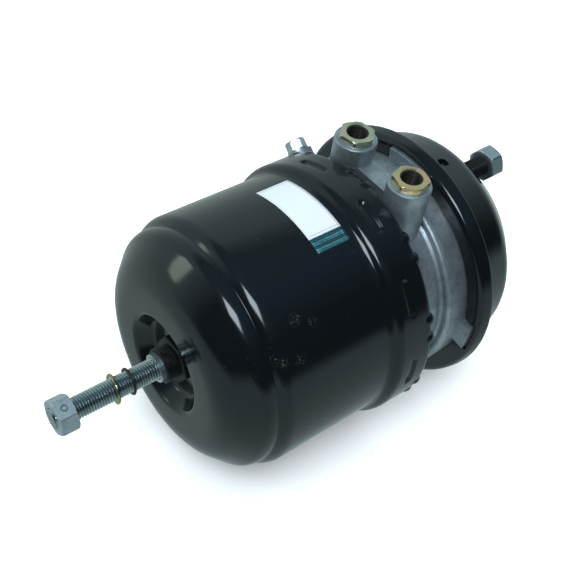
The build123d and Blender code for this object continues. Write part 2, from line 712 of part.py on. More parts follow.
def spigot_o_ring():
    """The sealing ring between the flange's spigot and the spring housing."""
    inner, outer = SPIGOT_R - SPIGOT_GROOVE_DEPTH, BAND_R - SHEET
    section = Pos(spigot_seal_x(), (inner + outer) / 2) * Circle((outer - inner) / 2)
    return revolve(section, Axis.X)


def tube_guides():
    """Two plastic rings that guide the piston tube in the flange."""
    hub_bore = TUBE_R + HUB_CLEARANCE
    rings = Part()
    for x, half, depth in tube_grooves()[::2]:
        rings += ring(x - half, x + half, hub_bore + depth, TUBE_R + RUNNING_GAP)
    return rings


def tube_seal():
    """The rubber seal between the two chambers, round the piston tube."""
    x, half, depth = tube_grooves()[1]
    return ring(x - half, x + half, TUBE_R + HUB_CLEARANCE + depth, TUBE_R + RUNNING_GAP)


def port_adapter(side, turn):
    """A hexagon adapter screwed into a port boss, with a threaded bore for the hose fitting."""
    hex_top = ADAPTER_SEAT_Z + ADAPTER_HEX_HEIGHT
    blank = Pos(0, 0, ADAPTER_SEAT_Z) * extrude(Rotation(0, 0, turn) * hexagon(ADAPTER_FLATS), ADAPTER_HEX_HEIGHT)
    face_r = ADAPTER_FLATS / 2 * 0.97
    corner_r = ADAPTER_FLATS / 2 / cos(radians(30)) + 0.1
    drop = (corner_r - face_r) * tan(radians(30))
    cone = Pos(0, 0, ADAPTER_SEAT_Z - 0.1) * Cylinder(
        corner_r, ADAPTER_HEX_HEIGHT + 0.1 - drop, align=(Align.CENTER, Align.CENTER, Align.MIN))
    cone += Pos(0, 0, hex_top - drop) * Cone(corner_r, face_r, drop, align=(Align.CENTER, Align.CENTER, Align.MIN))
    shank = Pos(0, 0, ADAPTER_SEAT_Z) * Cylinder(
        ADAPTER_SHANK_R, ADAPTER_SHANK_LENGTH, align=(Align.CENTER, Align.CENTER, Align.MAX))
    body = (blank & cone) + shank
    body -= Pos(0, 0, hex_top) * Cylinder(ADAPTER_BORE_R, ADAPTER_BORE_DEPTH,
                                          align=(Align.CENTER, Align.CENTER, Align.MAX))
    body -= Pos(0, 0, hex_top) * Cylinder(PORT_DRILL_R, ADAPTER_SHANK_LENGTH + 2 * ADAPTER_HEX_HEIGHT,
                                          align=(Align.CENTER, Align.CENTER, Align.MAX))
    body -= Pos(0, 0, hex_top) * Cone(ADAPTER_BORE_R, ADAPTER_BORE_R + ADAPTER_MOUTH_CHAMFER,
                                      ADAPTER_MOUTH_CHAMFER, align=(Align.CENTER, Align.CENTER, Align.MAX))
    return Pos(PORT_X, port_y(side), 0) * body


def port_adapters():
    """Both port adapters."""
    return [port_adapter(side, turn) for side, turn in zip((1, -1), ADAPTER_TURNS)]


def port_seals():
    """The flat sealing rings under the port adapters."""
    seals = []
    for side in (1, -1):
        disc = Circle(ADAPTER_SEAL_R) - Circle(ADAPTER_SHANK_R)
        seals.append(Pos(PORT_X, port_y(side), PORT_BOSS_TOP) * extrude(disc, ADAPTER_SEAL_THICK))
    return seals


def side_plug():
    """The plated hexagon plug in the flange's side boss."""
    head = extrude(hexagon(PLUG_FLATS), PLUG_HEIGHT)
    dome = Cylinder(PLUG_FLATS * 0.58, PLUG_HEIGHT, align=(Align.CENTER, Align.CENTER, Align.MIN))
    dome = fillet(dome.edges().group_by(Axis.Z)[-1], 2.5)
    shank = Cylinder(PLUG_SHANK_R, PLUG_SHANK_LENGTH, align=(Align.CENTER, Align.CENTER, Align.MAX))
    collar = Cylinder(PLUG_FLATS * 0.6, 1.8, align=(Align.CENTER, Align.CENTER, Align.MIN))
    return around(PLUG_TURN, PLUG_X, PLUG_BOSS_TOP) * ((head & dome) + collar + shank)


# Service chamber

def service_housing():
    """The pressed housing: mounting face, shoulder, wall, step and the collar folded over the flange."""
    body = pressed([
        (LIP_X, LIP_R, 0),
        (LIP_X, FOLD_R, FOLD_ROUND),
        (COLLAR_RIDGE_X, COLLAR_R, 0),
        (COLLAR_REAR_X, COLLAR_R, COLLAR_ROUND),
        (COLLAR_REAR_X, WALL_FRONT_R, 5.0),
        (WALL_REAR_X, WALL_REAR_R, SHOULDER_ROUND),
        (0.0, SHOULDER_END_R, FACE_ROUND),
        (0.0, OPENING_R, 0),
    ], SERVICE_SHEET)
    for turn, span in zip(LUG_TURNS, LUG_SPANS):
        notch = sector(LIP_X - 5, CLAMP_FRONT_X + 0.01, LIP_R - 5, COLLAR_R - 3.5, turn, span + 2 * LUG_CLEARANCE)
        body -= notch
    for i in range(DRAIN_COUNT):
        turn = DRAIN_TURN + i * 360 / DRAIN_COUNT
        body -= around(turn, DRAIN_X, WALL_REAR_R - 12) * Cylinder(
            DRAIN_R, 30, align=(Align.CENTER, Align.CENTER, Align.MIN))
    for turn in STUD_TURNS:
        body -= around(turn, 0, STUD_CIRCLE_R) * Pos(-10, 0, 0) * Rotation(0, 90, 0) * Cylinder(STUD_KNURL_R, 20)
    return body


def mounting_studs():
    """Two studs, their flat-sided heads inside the housing."""
    studs = []
    for turn in STUD_TURNS:
        stud = rod(-SERVICE_SHEET, 0, STUD_KNURL_R) + rod(0, STUD_NUT_X - 0.2, STUD_R)
        stud += rod(STUD_NUT_X - 0.2, STUD_END_X, STUD_CORE_R)
        head = Pos(-SERVICE_SHEET - STUD_HEAD_THICK / 2, 0, 0) * Box(
            STUD_HEAD_THICK, STUD_HEAD_LENGTH, STUD_HEAD_WIDTH)
        head = fillet(head.edges().filter_by(Axis.X), 4.0)
        studs.append(around(turn, 0, STUD_CIRCLE_R) * (stud + head))
    return studs


def stud_nuts():
    """The nuts on the two studs."""
    nut = hex_nut(STUD_NUT_X, STUD_NUT_THICK, NUT_FLATS, STUD_CORE_R + RUNNING_GAP, STUD_NUT_TURN)
    return [around(turn, 0, STUD_CIRCLE_R) * nut for turn in STUD_TURNS]


def diaphragm():
    """The rubber diaphragm, its bead clamped by the folded collar and its middle against the flange."""
    rear = DIAPHRAGM_FRONT_X
    bead_front = CLAMP_REAR_X
    path = [
        (bead_front, CLAMP_RIM_R - 0.3, 0),
        (bead_front, CUP_WALL_R - CUP_MOUTH_WALL, 3.0),
        (rear, DIAPHRAGM_BEND_R, 8.0),
        (rear, 0.0, 0),
    ]
    return turned(sheet_corners(path, -DIAPHRAGM_THICK))


def push_plate():
    """The pressed plate behind the diaphragm."""
    front = PLATE_FRONT_X
    return turned([
        (front, 0, 0),
        (front, PLATE_R - 4.0, 3.0),
        (front + PLATE_EDGE_RISE, PLATE_R, 1.0),
        (front + PLATE_EDGE_RISE + 2.5, PLATE_R - 3.0, 0.6),
        (front + PLATE_THICK, PLATE_R - 10.0, 2.0),
        (front + PLATE_THICK, 0, 0),
    ])


def push_rod():
    """The push rod, welded to its plate, with a ball end for the brake lever's cup."""
    start = PLATE_FRONT_X + PLATE_THICK
    body = turned([
        (start, 0, 0),
        (start, ROD_COLLAR_R, 0),
        (start + ROD_COLLAR_LENGTH, ROD_R, 3.0),
        (ROD_TIP_X - ROD_R, ROD_R, 0),
        (ROD_TIP_X - ROD_R, 0, 0),
    ])
    return body + Pos(ROD_TIP_X - ROD_R, 0, 0) * Sphere(ROD_R)


def return_spring():
    """The conical return spring between the push plate and the housing's floor."""
    front = PLATE_FRONT_X + PLATE_THICK + RETURN_WIRE_R
    rear = -SERVICE_SHEET - RETURN_WIRE_R
    return coil(front, rear, RETURN_FRONT_R, RETURN_REAR_R, RETURN_WIRE_R, RETURN_TURNS)


def boot_ring():
    """The ring that clips the boot into the housing's opening."""
    return turned([
        (-SERVICE_SHEET - BOOT_RING_THICK, OPENING_R - BOOT_RING_LAP, 0),
        (-SERVICE_SHEET, OPENING_R - BOOT_RING_LAP, 0),
        (-SERVICE_SHEET, BOOT_RING_R, 0),
        (-SERVICE_SHEET - BOOT_RING_THICK, BOOT_RING_R, 0.8),
    ])


def dust_boot():
    """The pleated rubber boot between the opening and the push rod."""
    outer = OPENING_R - BOOT_RING_LAP - SEAT_GAP
    sleeve = ROD_R + SEAT_GAP + BOOT_WALL
    start = -SERVICE_SHEET - BOOT_RING_THICK
    x = start + BOOT_WALL + BOOT_GAP
    path = [(start, outer, 0)]
    for i in range(BOOT_FOLDS):
        inner = sleeve + (BOOT_FOLDS - i) * BOOT_STEP
        path.append((x, outer, BOOT_ROUND))
        path.append((x, inner, BOOT_ROUND))
        path.append((x + BOOT_GAP, inner, BOOT_ROUND))
        outer -= BOOT_TAPER
        path.append((x + BOOT_GAP, outer, BOOT_ROUND))
        x += 2 * (BOOT_GAP + BOOT_WALL)
    path.append((x, outer, BOOT_ROUND))
    path.append((x, sleeve, BOOT_ROUND))
    path.append((BOOT_SLEEVE_X, sleeve, 0))
    return turned(sheet_corners(path, BOOT_WALL))


NODES = {
    "spring_housing": spring_housing,
    "neck_bush": neck_bush,
    "neck_washer": neck_washer,
    "release_bolt": release_bolt,
    "release_nut": release_nut,
    "nut_pin": nut_pin,
    "bolt_o_ring": bolt_o_ring,
    "bolt_ring_washer": bolt_ring_washer,
    "bolt_thrust_ring": bolt_thrust_ring,
    "parking_piston": parking_piston,
    "piston_lip_seal": piston_lip_seal,
    "piston_wear_ring": piston_wear_ring,
    "piston_tube": piston_tube,
    "tube_plunger": tube_plunger,
    "power_spring": power_spring,
    "centre_flange": centre_flange,
    "spigot_o_ring": spigot_o_ring,
    "tube_guides": tube_guides,
    "tube_seal": tube_seal,
    "port_adapters": port_adapters,
    "port_seals": port_seals,
    "side_plug": side_plug,
    "service_housing": service_housing,
    "mounting_studs": mounting_studs,
    "stud_nuts": stud_nuts,
    "diaphragm": diaphragm,
    "push_plate": push_plate,
    "push_rod": push_rod,
    "return_spring": return_spring,
    "boot_ring": boot_ring,
    "dust_boot": dust_boot,
}


def write(name, shape):
    """One STEP file per node, from one shape or a list of separate pieces."""
    if isinstance(shape, list):
        shape = Compound(children=shape)
    export_step(shape, f"parts/{name}.step")


os.makedirs("parts", exist_ok=True)
for name, make in NODES.items():
    write(name, make())
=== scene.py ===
"""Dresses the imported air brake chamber: real surfaces over its nodes, finishes, studio and camera."""

import math

import bmesh
import bpy
import numpy as np
from mathutils import Matrix, Vector


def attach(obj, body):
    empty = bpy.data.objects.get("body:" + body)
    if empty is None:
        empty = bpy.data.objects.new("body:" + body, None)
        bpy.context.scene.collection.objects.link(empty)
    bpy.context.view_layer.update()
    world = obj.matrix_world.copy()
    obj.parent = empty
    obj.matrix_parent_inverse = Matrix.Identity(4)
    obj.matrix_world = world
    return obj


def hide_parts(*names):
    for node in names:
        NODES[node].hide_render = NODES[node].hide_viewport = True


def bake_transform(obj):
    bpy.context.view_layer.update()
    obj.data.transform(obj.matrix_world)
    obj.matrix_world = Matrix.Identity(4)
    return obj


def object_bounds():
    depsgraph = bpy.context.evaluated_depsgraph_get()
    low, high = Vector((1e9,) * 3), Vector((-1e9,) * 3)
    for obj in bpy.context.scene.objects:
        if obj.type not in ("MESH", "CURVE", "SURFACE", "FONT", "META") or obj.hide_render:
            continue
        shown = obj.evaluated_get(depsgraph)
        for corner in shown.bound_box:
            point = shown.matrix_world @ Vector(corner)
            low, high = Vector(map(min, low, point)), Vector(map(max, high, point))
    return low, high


bl_info = {
    "name": "Air Brake Chamber",
    "version": (1, 0, 0),
    "blender": (4, 5, 0),
    "location": "View3D > Sidebar > Brake Chamber",
    "description": "Dresses a double air brake chamber with its surfaces, finishes and studio",
    "category": "Object",
}

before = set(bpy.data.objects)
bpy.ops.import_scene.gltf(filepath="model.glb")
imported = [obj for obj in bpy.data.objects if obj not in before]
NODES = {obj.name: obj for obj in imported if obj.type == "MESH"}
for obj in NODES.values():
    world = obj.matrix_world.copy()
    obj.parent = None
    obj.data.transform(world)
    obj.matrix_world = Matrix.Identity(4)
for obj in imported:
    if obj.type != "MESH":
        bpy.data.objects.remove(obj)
CAD_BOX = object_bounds()
MM = 0.001


# Colours and small helpers

def linear(code):
    """The linear light values of an sRGB hex colour, with alpha 1."""
    parts = np.array([int(code[i:i + 2], 16) for i in (1, 3, 5)]) / 255
    light = np.where(parts <= 0.04045, parts / 12.92, ((parts + 0.055) / 1.055) ** 2.4)
    return (*light.tolist(), 1.0)


def colour(code, words):
    """A colour property with that sRGB default."""
    return bpy.props.FloatVectorProperty(
        name=words, description=f"Colour of the {words.lower()}", subtype="COLOR", size=4, min=0, max=1,
        default=linear(code))


def length(default, words):
    """A length property in metres."""
    return bpy.props.FloatProperty(
        name=words, description=words, default=default, min=0, unit="LENGTH", precision=5)


class ChamberSizes(bpy.types.PropertyGroup):
    """Sizes that the drawn surfaces share with the solids."""
    barrel_radius: length(0.096, "Radius of the spring housing's barrel")
    band_radius: length(0.1014, "Radius of the spring housing's wide band")
    spring_sheet: length(0.003, "Sheet of the spring housing")
    service_sheet: length(0.0028, "Sheet of the service housing")
    bolt_radius: length(0.008, "Radius of the release bolt over its thread")
    bolt_pitch: length(0.002, "Pitch of the release bolt's thread")
    port_pitch: length(0.0015, "Pitch of the port's thread")
    bead_count: bpy.props.IntProperty(
        name="Pressed beads", description="Beads and pairs of crimp lobes round the band", default=10, min=3, max=24)
    label_radius_gap: length(0.0001, "Height of the label over the paint")


class ChamberColours(bpy.types.PropertyGroup):
    """Colours of the chamber's finishes."""
    paint: colour("#0B0E10", "Black enamel")
    dust: colour("#8C9290", "Dust and scuffs on the enamel")
    zinc: colour("#D3DCDD", "Zinc plating")
    yellow_zinc: colour("#F0CB9A", "Yellow zinc plating")
    green_zinc: colour("#D5D0B0", "Pale green shade of the yellow zinc")
    rose_zinc: colour("#E4B496", "Rose shade of the yellow zinc")
    casting: colour("#B7C0C4", "Cast aluminium")
    olive_zinc: colour("#B7B68F", "Olive shade of the yellow zinc")
    phosphate: colour("#060707", "Black phosphated steel")
    # Painted shade inside the port adapters' bores.
    bore: colour("#17120E", "Painted shade in bores")
    rubber: colour("#121313", "Rubber")
    plain_steel: colour("#8D8F90", "Plain steel")
    spring_paint: colour("#1C2226", "Spring lacquer")
    guide_plastic: colour("#CFC7AE", "Guide ring plastic")
    label_paper: colour("#BCC4CA", "Label film")
    label_strip: colour("#5FA6B0", "Shiny strip of the label")
    floor: colour("#F4F5F5", "Studio floor")


class StudioValues(bpy.types.PropertyGroup):
    """Camera and lights."""
    camera_place: bpy.props.FloatVectorProperty(
        name="Camera place", description="Where the camera stands", subtype="TRANSLATION", size=3, unit="LENGTH",
        default=(-0.5134, -0.3363, 0.5218))
    azimuth: bpy.props.FloatProperty(
        name="Azimuth", description="Turn of the view round the vertical", default=math.radians(-45.53),
        unit="ROTATION")
    elevation: bpy.props.FloatProperty(
        name="Elevation", description="How far the camera looks down", default=math.radians(46.12), unit="ROTATION")
    roll: bpy.props.FloatProperty(
        name="Roll", description="Roll of the camera", default=math.radians(10.38), unit="ROTATION")
    lens: bpy.props.FloatProperty(
        name="Lens", description="Focal length on a 36 mm sensor", default=59.74, min=10, max=300)


def sizes():
    """The sizes chosen in the panel."""
    return bpy.context.scene.chamber_sizes


def colours():
    """The colours chosen in the panel."""
    return bpy.context.scene.chamber_colours


# Surfaces

def smoothstep(value):
    """Rises from 0 to 1 with level ends: 3 v squared minus 2 v cubed, v held between 0 and 1."""
    held = np.clip(value, 0, 1)
    return held * held * (3 - 2 * held)


def rounded(corners, arc_points=9):
    """Points along (x, radius, rounding) corners: each corner becomes an arc that touches both sides.

    The arc starts a tangent length before the corner, which is the rounding times the tangent of half the turn, and
    runs as start plus rounding times (sine of the angle along the side, one minus its cosine towards the turn)."""
    points = [np.array(c[:2], float) for c in corners]
    path = [points[0]]
    for i in range(1, len(points) - 1):
        into, out = points[i] - points[i - 1], points[i + 1] - points[i]
        room = min(np.hypot(*into), np.hypot(*out)) * 0.75
        into, out = into / np.hypot(*into), out / np.hypot(*out)
        turn = math.acos(np.clip(into @ out, -1, 1))
        rounding = corners[i][2]
        if rounding <= 0 or turn < 1e-4:
            path.append(points[i])
            continue
        rounding = min(rounding, room / math.tan(turn / 2))
        start = points[i] - into * rounding * math.tan(turn / 2)
        side = out - (out @ into) * into
        side /= np.hypot(*side)
        angle = np.linspace(0, turn, arc_points)[:, None]
        path.extend(start + rounding * (np.sin(angle) * into + (1 - np.cos(angle)) * side))
    path.append(points[-1])
    return np.array(path)


def resampled(path, step):
    """The path with points added on each run longer than the step, at equal shares of it."""
    parts = []
    for a, b in zip(path[:-1], path[1:]):
        share = np.linspace(0, 1, max(1, math.ceil(np.hypot(*(b - a)) / step)), endpoint=False)[:, None]
        parts.append(a + share * (b - a))
    return np.vstack(parts + [path[-1:]])


def sheet_section(path, thickness, keep_every=1):
    """A closed section: the path, then the same path moved to its right by the thickness, back to the start.

    The moved side may keep only every few points, and its two ends, where nothing fine shows."""
    run = np.gradient(path, axis=0)
    run /= np.hypot(run[:, 0], run[:, 1])[:, None]
    inner = path + thickness * np.stack([run[:, 1], -run[:, 0]], axis=1)
    kept = np.unique(np.append(np.arange(0, len(path), keep_every), len(path) - 1))
    return np.vstack([path, inner[kept][::-1]])


def around(x, radius, turn):
    """Points at x, at that radius and turn about the axis: x, radius times cosine, radius times sine."""
    x, radius, turn = np.broadcast_arrays(x, radius, turn)
    return np.stack([x, radius * np.cos(turn), radius * np.sin(turn)], axis=-1)


def surface(name, grid, round_rows=False, round_columns=False, crease=40.0, uv=False):
    """A mesh object from a grid of points in millimetres: one quad between each four neighbours.

    Rows or columns that go round are joined end to end. Points that meet, as at a pole, become one, and the faces
    are turned outwards. Edges sharper than the crease angle stay sharp."""
    rows, columns = grid.shape[:2]
    index = np.arange(rows * columns).reshape(rows, columns)
    if round_rows:
        index = np.vstack([index, index[:1]])
    if round_columns:
        index = np.hstack([index, index[:, :1]])
    quads = np.stack([index[:-1, :-1], index[1:, :-1], index[1:, 1:], index[:-1, 1:]], axis=-1).reshape(-1, 4)
    mesh = bpy.data.meshes.new(name)
    mesh.vertices.add(rows * columns)
    mesh.vertices.foreach_set("co", (grid.reshape(-1) * MM).astype(np.float32))
    mesh.loops.add(quads.size)
    mesh.loops.foreach_set("vertex_index", quads.reshape(-1).astype(np.int32))
    mesh.polygons.add(len(quads))
    mesh.polygons.foreach_set("loop_start", np.arange(0, quads.size, 4, dtype=np.int32))
    mesh.update(calc_edges=True)
    if uv:
        layer = mesh.uv_layers.new(name="place")
        down, across = np.divmod(quads.reshape(-1), columns)
        place = np.stack([across / max(columns - 1, 1), down / max(rows - 1, 1)], axis=1)
        layer.data.foreach_set("uv", place.reshape(-1).astype(np.float32))
    work = bmesh.new()
    work.from_mesh(mesh)
    bmesh.ops.remove_doubles(work, verts=work.verts, dist=1e-6)
    bmesh.ops.recalc_face_normals(work, faces=work.faces)
    work.to_mesh(mesh)
    work.free()
    mesh.polygons.foreach_set("use_smooth", np.ones(len(mesh.polygons), bool))
    mesh.set_sharp_from_angle(angle=math.radians(crease))
    obj = bpy.data.objects.new(name, mesh)
    bpy.context.scene.collection.objects.link(obj)
    return obj


def lathe(name, section, columns=192):
    """A closed section of (x, radius) points turned once round the axis."""
    turn = np.linspace(0, 2 * math.pi, columns, endpoint=False)[None, :]
    grid = around(section[:, :1], section[:, 1:], turn)
    return surface(name, grid, True, True)


def join(name, objects):
    """One object from several, keeping their places."""
    mesh = bpy.data.meshes.new(name)
    work = bmesh.new()
    for obj in objects:
        work.from_mesh(obj.data)
        bpy.data.objects.remove(obj)
    work.to_mesh(mesh)
    work.free()
    mesh.set_sharp_from_angle(angle=math.radians(40))
    joined = bpy.data.objects.new(name, mesh)
    bpy.context.scene.collection.objects.link(joined)
    return joined


def placed(obj, matrix):
    """Moves an object's mesh by a matrix in millimetres and leaves the object at the origin."""
    move = matrix.copy()
    move.translation = move.translation * MM
    obj.data.transform(move)
    return obj


def bears(piece, body, material, slot, *nodes):
    """Gives a piece its body and its material, and hides the solids that it stands for. The slot is not used."""
    piece.data.materials.clear()
    piece.data.materials.append(material)
    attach(piece, body)
    if nodes:
        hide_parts(*nodes)
    return piece


def finish_node(name, material):
    """Puts a material on every slot of a solid that stays in view."""
    node = NODES[name]
    if not node.material_slots:
        raise RuntimeError(f"{name} has no material slot")
    for entry in node.material_slots:
        entry.material = material


# Materials

def add_node(tree, kind, settings=None, links=None):
    """Adds a node, sets its properties and inputs by name, and links its inputs to other sockets."""
    node = tree.nodes.new(kind)
    for key, value in (settings or {}).items():
        if isinstance(key, str) and key[0].islower():
            setattr(node, key, value)
        else:
            node.inputs[key].default_value = value
    for key, socket in (links or {}).items():
        tree.links.new(socket, node.inputs[key])
    return node


def new_material(name):
    """A named material with its tree and its Principled shader."""
    material = bpy.data.materials.new(name)
    material.use_nodes = True
    tree = material.node_tree
    return material, tree, tree.nodes["Principled BSDF"]


def set_stops(node, stops):
    """Gives a colour ramp its (place, colour) stops."""
    ramp = node.color_ramp
    while len(ramp.elements) < len(stops):
        ramp.elements.new(0.5)
    for element, (place, tint) in zip(ramp.elements, stops):
        element.position = place
        element.color = tint
    return node


def object_point(tree):
    """The Object coordinate, in metres."""
    return add_node(tree, "ShaderNodeTexCoord").outputs["Object"]


def noise(tree, size_mm, detail=3.0, rough=0.5, point=None):
    """Noise whose features are about that many millimetres across."""
    return add_node(
        tree, "ShaderNodeTexNoise", {"Scale": 1000.0 / size_mm, "Detail": detail, "Roughness": rough},
        {"Vector": point or object_point(tree)}).outputs["Fac"]


def mapped(tree, value, low, high, to_low, to_high):
    """The value's share of its range, held, on a new range."""
    return add_node(
        tree, "ShaderNodeMapRange",
        {"From Min": low, "From Max": high, "To Min": to_low, "To Max": to_high}, {"Value": value}).outputs["Result"]


def bumped(tree, shader, layers):
    """Chains bump nodes of (height socket, strength, distance in millimetres) into the shader's normal."""
    normal = None
    for height, strength, depth in layers:
        links = {"Height": height}
        if normal:
            links["Normal"] = normal
        bump = add_node(tree, "ShaderNodeBump", {"Strength": strength, "Distance": depth * MM}, links)
        normal = bump.outputs["Normal"]
    tree.links.new(normal, shader.inputs["Normal"])


SCUFFS = (  # place in millimetres on the barrel, reach
    ((-219.1, -61.8, 73.4), 5.5),
    ((-208.0, -66.4, 69.3), 4.5),
    ((-242.3, -74.4, 60.7), 5.5),
    ((-225.3, -78.8, 54.8), 5.0),
    ((-236.5, -77.0, 57.4), 4.5),
)


def gloss_enamel(name="Black gloss enamel on pressed steel", scuffed=False):
    """Sprayed black enamel: a hard clear gloss with orange peel over slow waves of the pressed sheet.

    It gives nearly black with sharp reflections that wobble a little, and fine dust that catches light."""
    material, tree, shader = new_material(name)
    tint = colours()
    point = object_point(tree)
    dust = mapped(tree, noise(tree, 1.2, 2.0, 0.6, point), 0.70, 0.80, 0.0, 0.5)
    patch = mapped(tree, noise(tree, 38.0, 2.0, 0.5, point), 0.52, 0.70, 0.0, 1.0)
    dusted = add_node(tree, "ShaderNodeMath", {"operation": "MULTIPLY"}, {0: dust, 1: patch}).outputs[0]
    if scuffed:
        chips = mapped(tree, noise(tree, 1.1, 4.0, 0.65, point), 0.56, 0.66, 0.0, 0.4)
        for place, reach in SCUFFS:
            away = add_node(tree, "ShaderNodeVectorMath", {"operation": "DISTANCE", 1: [v * MM for v in place]},
                            {0: point}).outputs["Value"]
            near = mapped(tree, away, 0.2 * reach * MM, reach * MM, 1.0, 0.0)
            spot = add_node(tree, "ShaderNodeMath", {"operation": "MULTIPLY"}, {0: near, 1: chips}).outputs[0]
            dusted = add_node(tree, "ShaderNodeMath", {"operation": "MAXIMUM"}, {0: dusted, 1: spot}).outputs[0]
    paint = add_node(tree, "ShaderNodeMix", {"data_type": "RGBA", 6: tint.paint, 7: tint.dust}, {0: dusted})
    tree.links.new(paint.outputs[2], shader.inputs["Base Color"])
    film = mapped(tree, noise(tree, 22.0, 3.0, 0.55, point), 0.3, 0.7, 0.10, 0.15)
    rough = add_node(tree, "ShaderNodeMath", {"operation": "MULTIPLY_ADD", 1: 0.5}, {0: dusted, 2: film}).outputs[0]
    tree.links.new(rough, shader.inputs["Roughness"])
    shader.inputs["IOR"].default_value = 1.52
    waves, peel = noise(tree, 34.0, 1.0, 0.4, point), noise(tree, 2.2, 1.0, 0.4, point)
    bumped(tree, shader, [(waves, 0.25, 0.5), (peel, 0.05, 0.06)])
    return material


def zinc_plating(name="Blue passivated zinc plating on steel", smooth=0.36, rough=0.48, thread=False):
    """Electroplated zinc: a bright grey metal with a cool, slightly cloudy sheen.

    On the bolt, painted shade lies in the thread: the base darkens with the depth below the crest."""
    material, tree, shader = new_material(name)
    point = object_point(tree)
    cloud = noise(tree, 5.0, 4.0, 0.6, point)
    mix = add_node(tree, "ShaderNodeMix", {"data_type": "RGBA", 6: colours().zinc, 7: linear("#AEBABD")},
                   {0: mapped(tree, cloud, 0.35, 0.75, 0.0, 0.8)}).outputs[2]
    # Painted shade: the base colour darkens to a dark grey towards the thread's roots, by depth below the crest.
    if thread:
        across = add_node(tree, "ShaderNodeVectorMath", {"operation": "MULTIPLY", 1: (0.0, 1.0, 1.0)}, {0: point})
        away = add_node(tree, "ShaderNodeVectorMath", {"operation": "LENGTH"}, {0: across.outputs[0]}).outputs["Value"]
        crest = sizes().bolt_radius
        depth = mapped(tree, away, crest - 1.1 * MM, crest - 0.35 * MM, 0.6, 0.0)
        mix = add_node(tree, "ShaderNodeMix", {"data_type": "RGBA", 7: linear("#6C797D")},
                       {0: depth, 6: mix}).outputs[2]
    tree.links.new(mix, shader.inputs["Base Color"])
    shader.inputs["Metallic"].default_value = 1.0
    tree.links.new(mapped(tree, cloud, 0.3, 0.7, smooth, rough), shader.inputs["Roughness"])
    bumped(tree, shader, [(noise(tree, 0.8, 2.0, 0.6, point), 0.06, 0.03)])
    return material


def yellow_plating(name, first, second, third):
    """Yellow chromated zinc: an interference film whose shade drifts between straw, rose and pale green."""
    material, tree, shader = new_material(name)
    point = object_point(tree)
    drift = noise(tree, 11.0, 2.0, 0.5, point)
    ramp = set_stops(add_node(tree, "ShaderNodeValToRGB", None, {"Fac": drift}),
                     [(0.3, first), (0.5, second), (0.68, third)])
    tree.links.new(ramp.outputs["Color"], shader.inputs["Base Color"])
    shader.inputs["Metallic"].default_value = 1.0
    tree.links.new(mapped(tree, drift, 0.3, 0.7, 0.2, 0.32), shader.inputs["Roughness"])
    bumped(tree, shader, [(noise(tree, 0.9, 2.0, 0.6, point), 0.1, 0.03)])
    return material


def cast_aluminium():
    """Pressure die-cast aluminium, shot blasted: a dull grey skin with fine grain.

    It gives slow flow clouds and small darker stains where the die's release agent burnt in."""
    material, tree, shader = new_material("Die-cast aluminium, shot blasted")
    point = object_point(tree)
    cloud = noise(tree, 18.0, 4.0, 0.6, point)
    skin = add_node(tree, "ShaderNodeMix", {"data_type": "RGBA", 6: colours().casting, 7: linear("#949EA4")},
                    {0: mapped(tree, cloud, 0.38, 0.66, 0.0, 1.0)})
    stain = mapped(tree, noise(tree, 4.5, 4.0, 0.7, point), 0.52, 0.72, 0.0, 0.45)
    stained = add_node(tree, "ShaderNodeMix", {"data_type": "RGBA", 7: linear("#7C878E")},
                       {0: stain, 6: skin.outputs[2]})
    tree.links.new(stained.outputs[2], shader.inputs["Base Color"])
    shader.inputs["Metallic"].default_value = 0.9
    tree.links.new(mapped(tree, cloud, 0.3, 0.7, 0.42, 0.58), shader.inputs["Roughness"])
    bumped(tree, shader, [(noise(tree, 0.9, 3.0, 0.65, point), 0.4, 0.06), (cloud, 0.15, 0.4)])
    return material


def clouded(name, first, second, cloud, span, rough, grain=None):
    """A skin of two shades that drift into each other, with one roughness and a fine grain where one is given.

    The cloud is noise: size in millimetres, detail and roughness. The span holds it between two values and gives the
    share of the second shade at each. The grain is noise too, with its bump's strength and depth after it."""
    material, tree, shader = new_material(name)
    point = object_point(tree)
    mix = add_node(tree, "ShaderNodeMix", {"data_type": "RGBA", 6: first, 7: linear(second)},
                   {0: mapped(tree, noise(tree, *cloud, point), *span)})
    tree.links.new(mix.outputs[2], shader.inputs["Base Color"])
    shader.inputs["Roughness"].default_value = rough
    if grain:
        bumped(tree, shader, [(noise(tree, *grain[:3], point), *grain[3:])])
    return material


def phosphated_steel():
    """Zinc phosphate on steel, oiled: a matt black crystal layer with a faint grey bloom in clouds."""
    return clouded("Black phosphated steel", colours().phosphate, "#131617", (3.0, 4.0, 0.65),
                   (0.5, 0.75, 0.0, 0.7), 0.5, (0.8, 2.0, 0.6, 0.15, 0.03))


def bore_shade():
    """Painted shade inside a bore: the chromated thread shown dark brown and satin."""
    return clouded("Painted shade inside a bore", colours().bore, "#3A2E22", (2.5, 3.0, 0.6),
                   (0.5, 0.8, 0.0, 0.6), 0.45)


def moulded_rubber():
    """Moulded nitrile rubber: black, matt, with a faint bloom."""
    return clouded("Moulded nitrile rubber", colours().rubber, "#2A2B2B", (4.0, 3.0, 0.6),
                   (0.45, 0.8, 0.0, 0.6), 0.55, (0.7, 2.0, 0.5, 0.15, 0.03))


def guide_plastic():
    """Glass-filled acetal: cream, satin, with faint speckle."""
    return clouded("Glass-filled acetal", colours().guide_plastic, "#A79F88", (1.0, 2.0, 0.6),
                   (0.5, 0.8, 0.0, 0.6), 0.45)


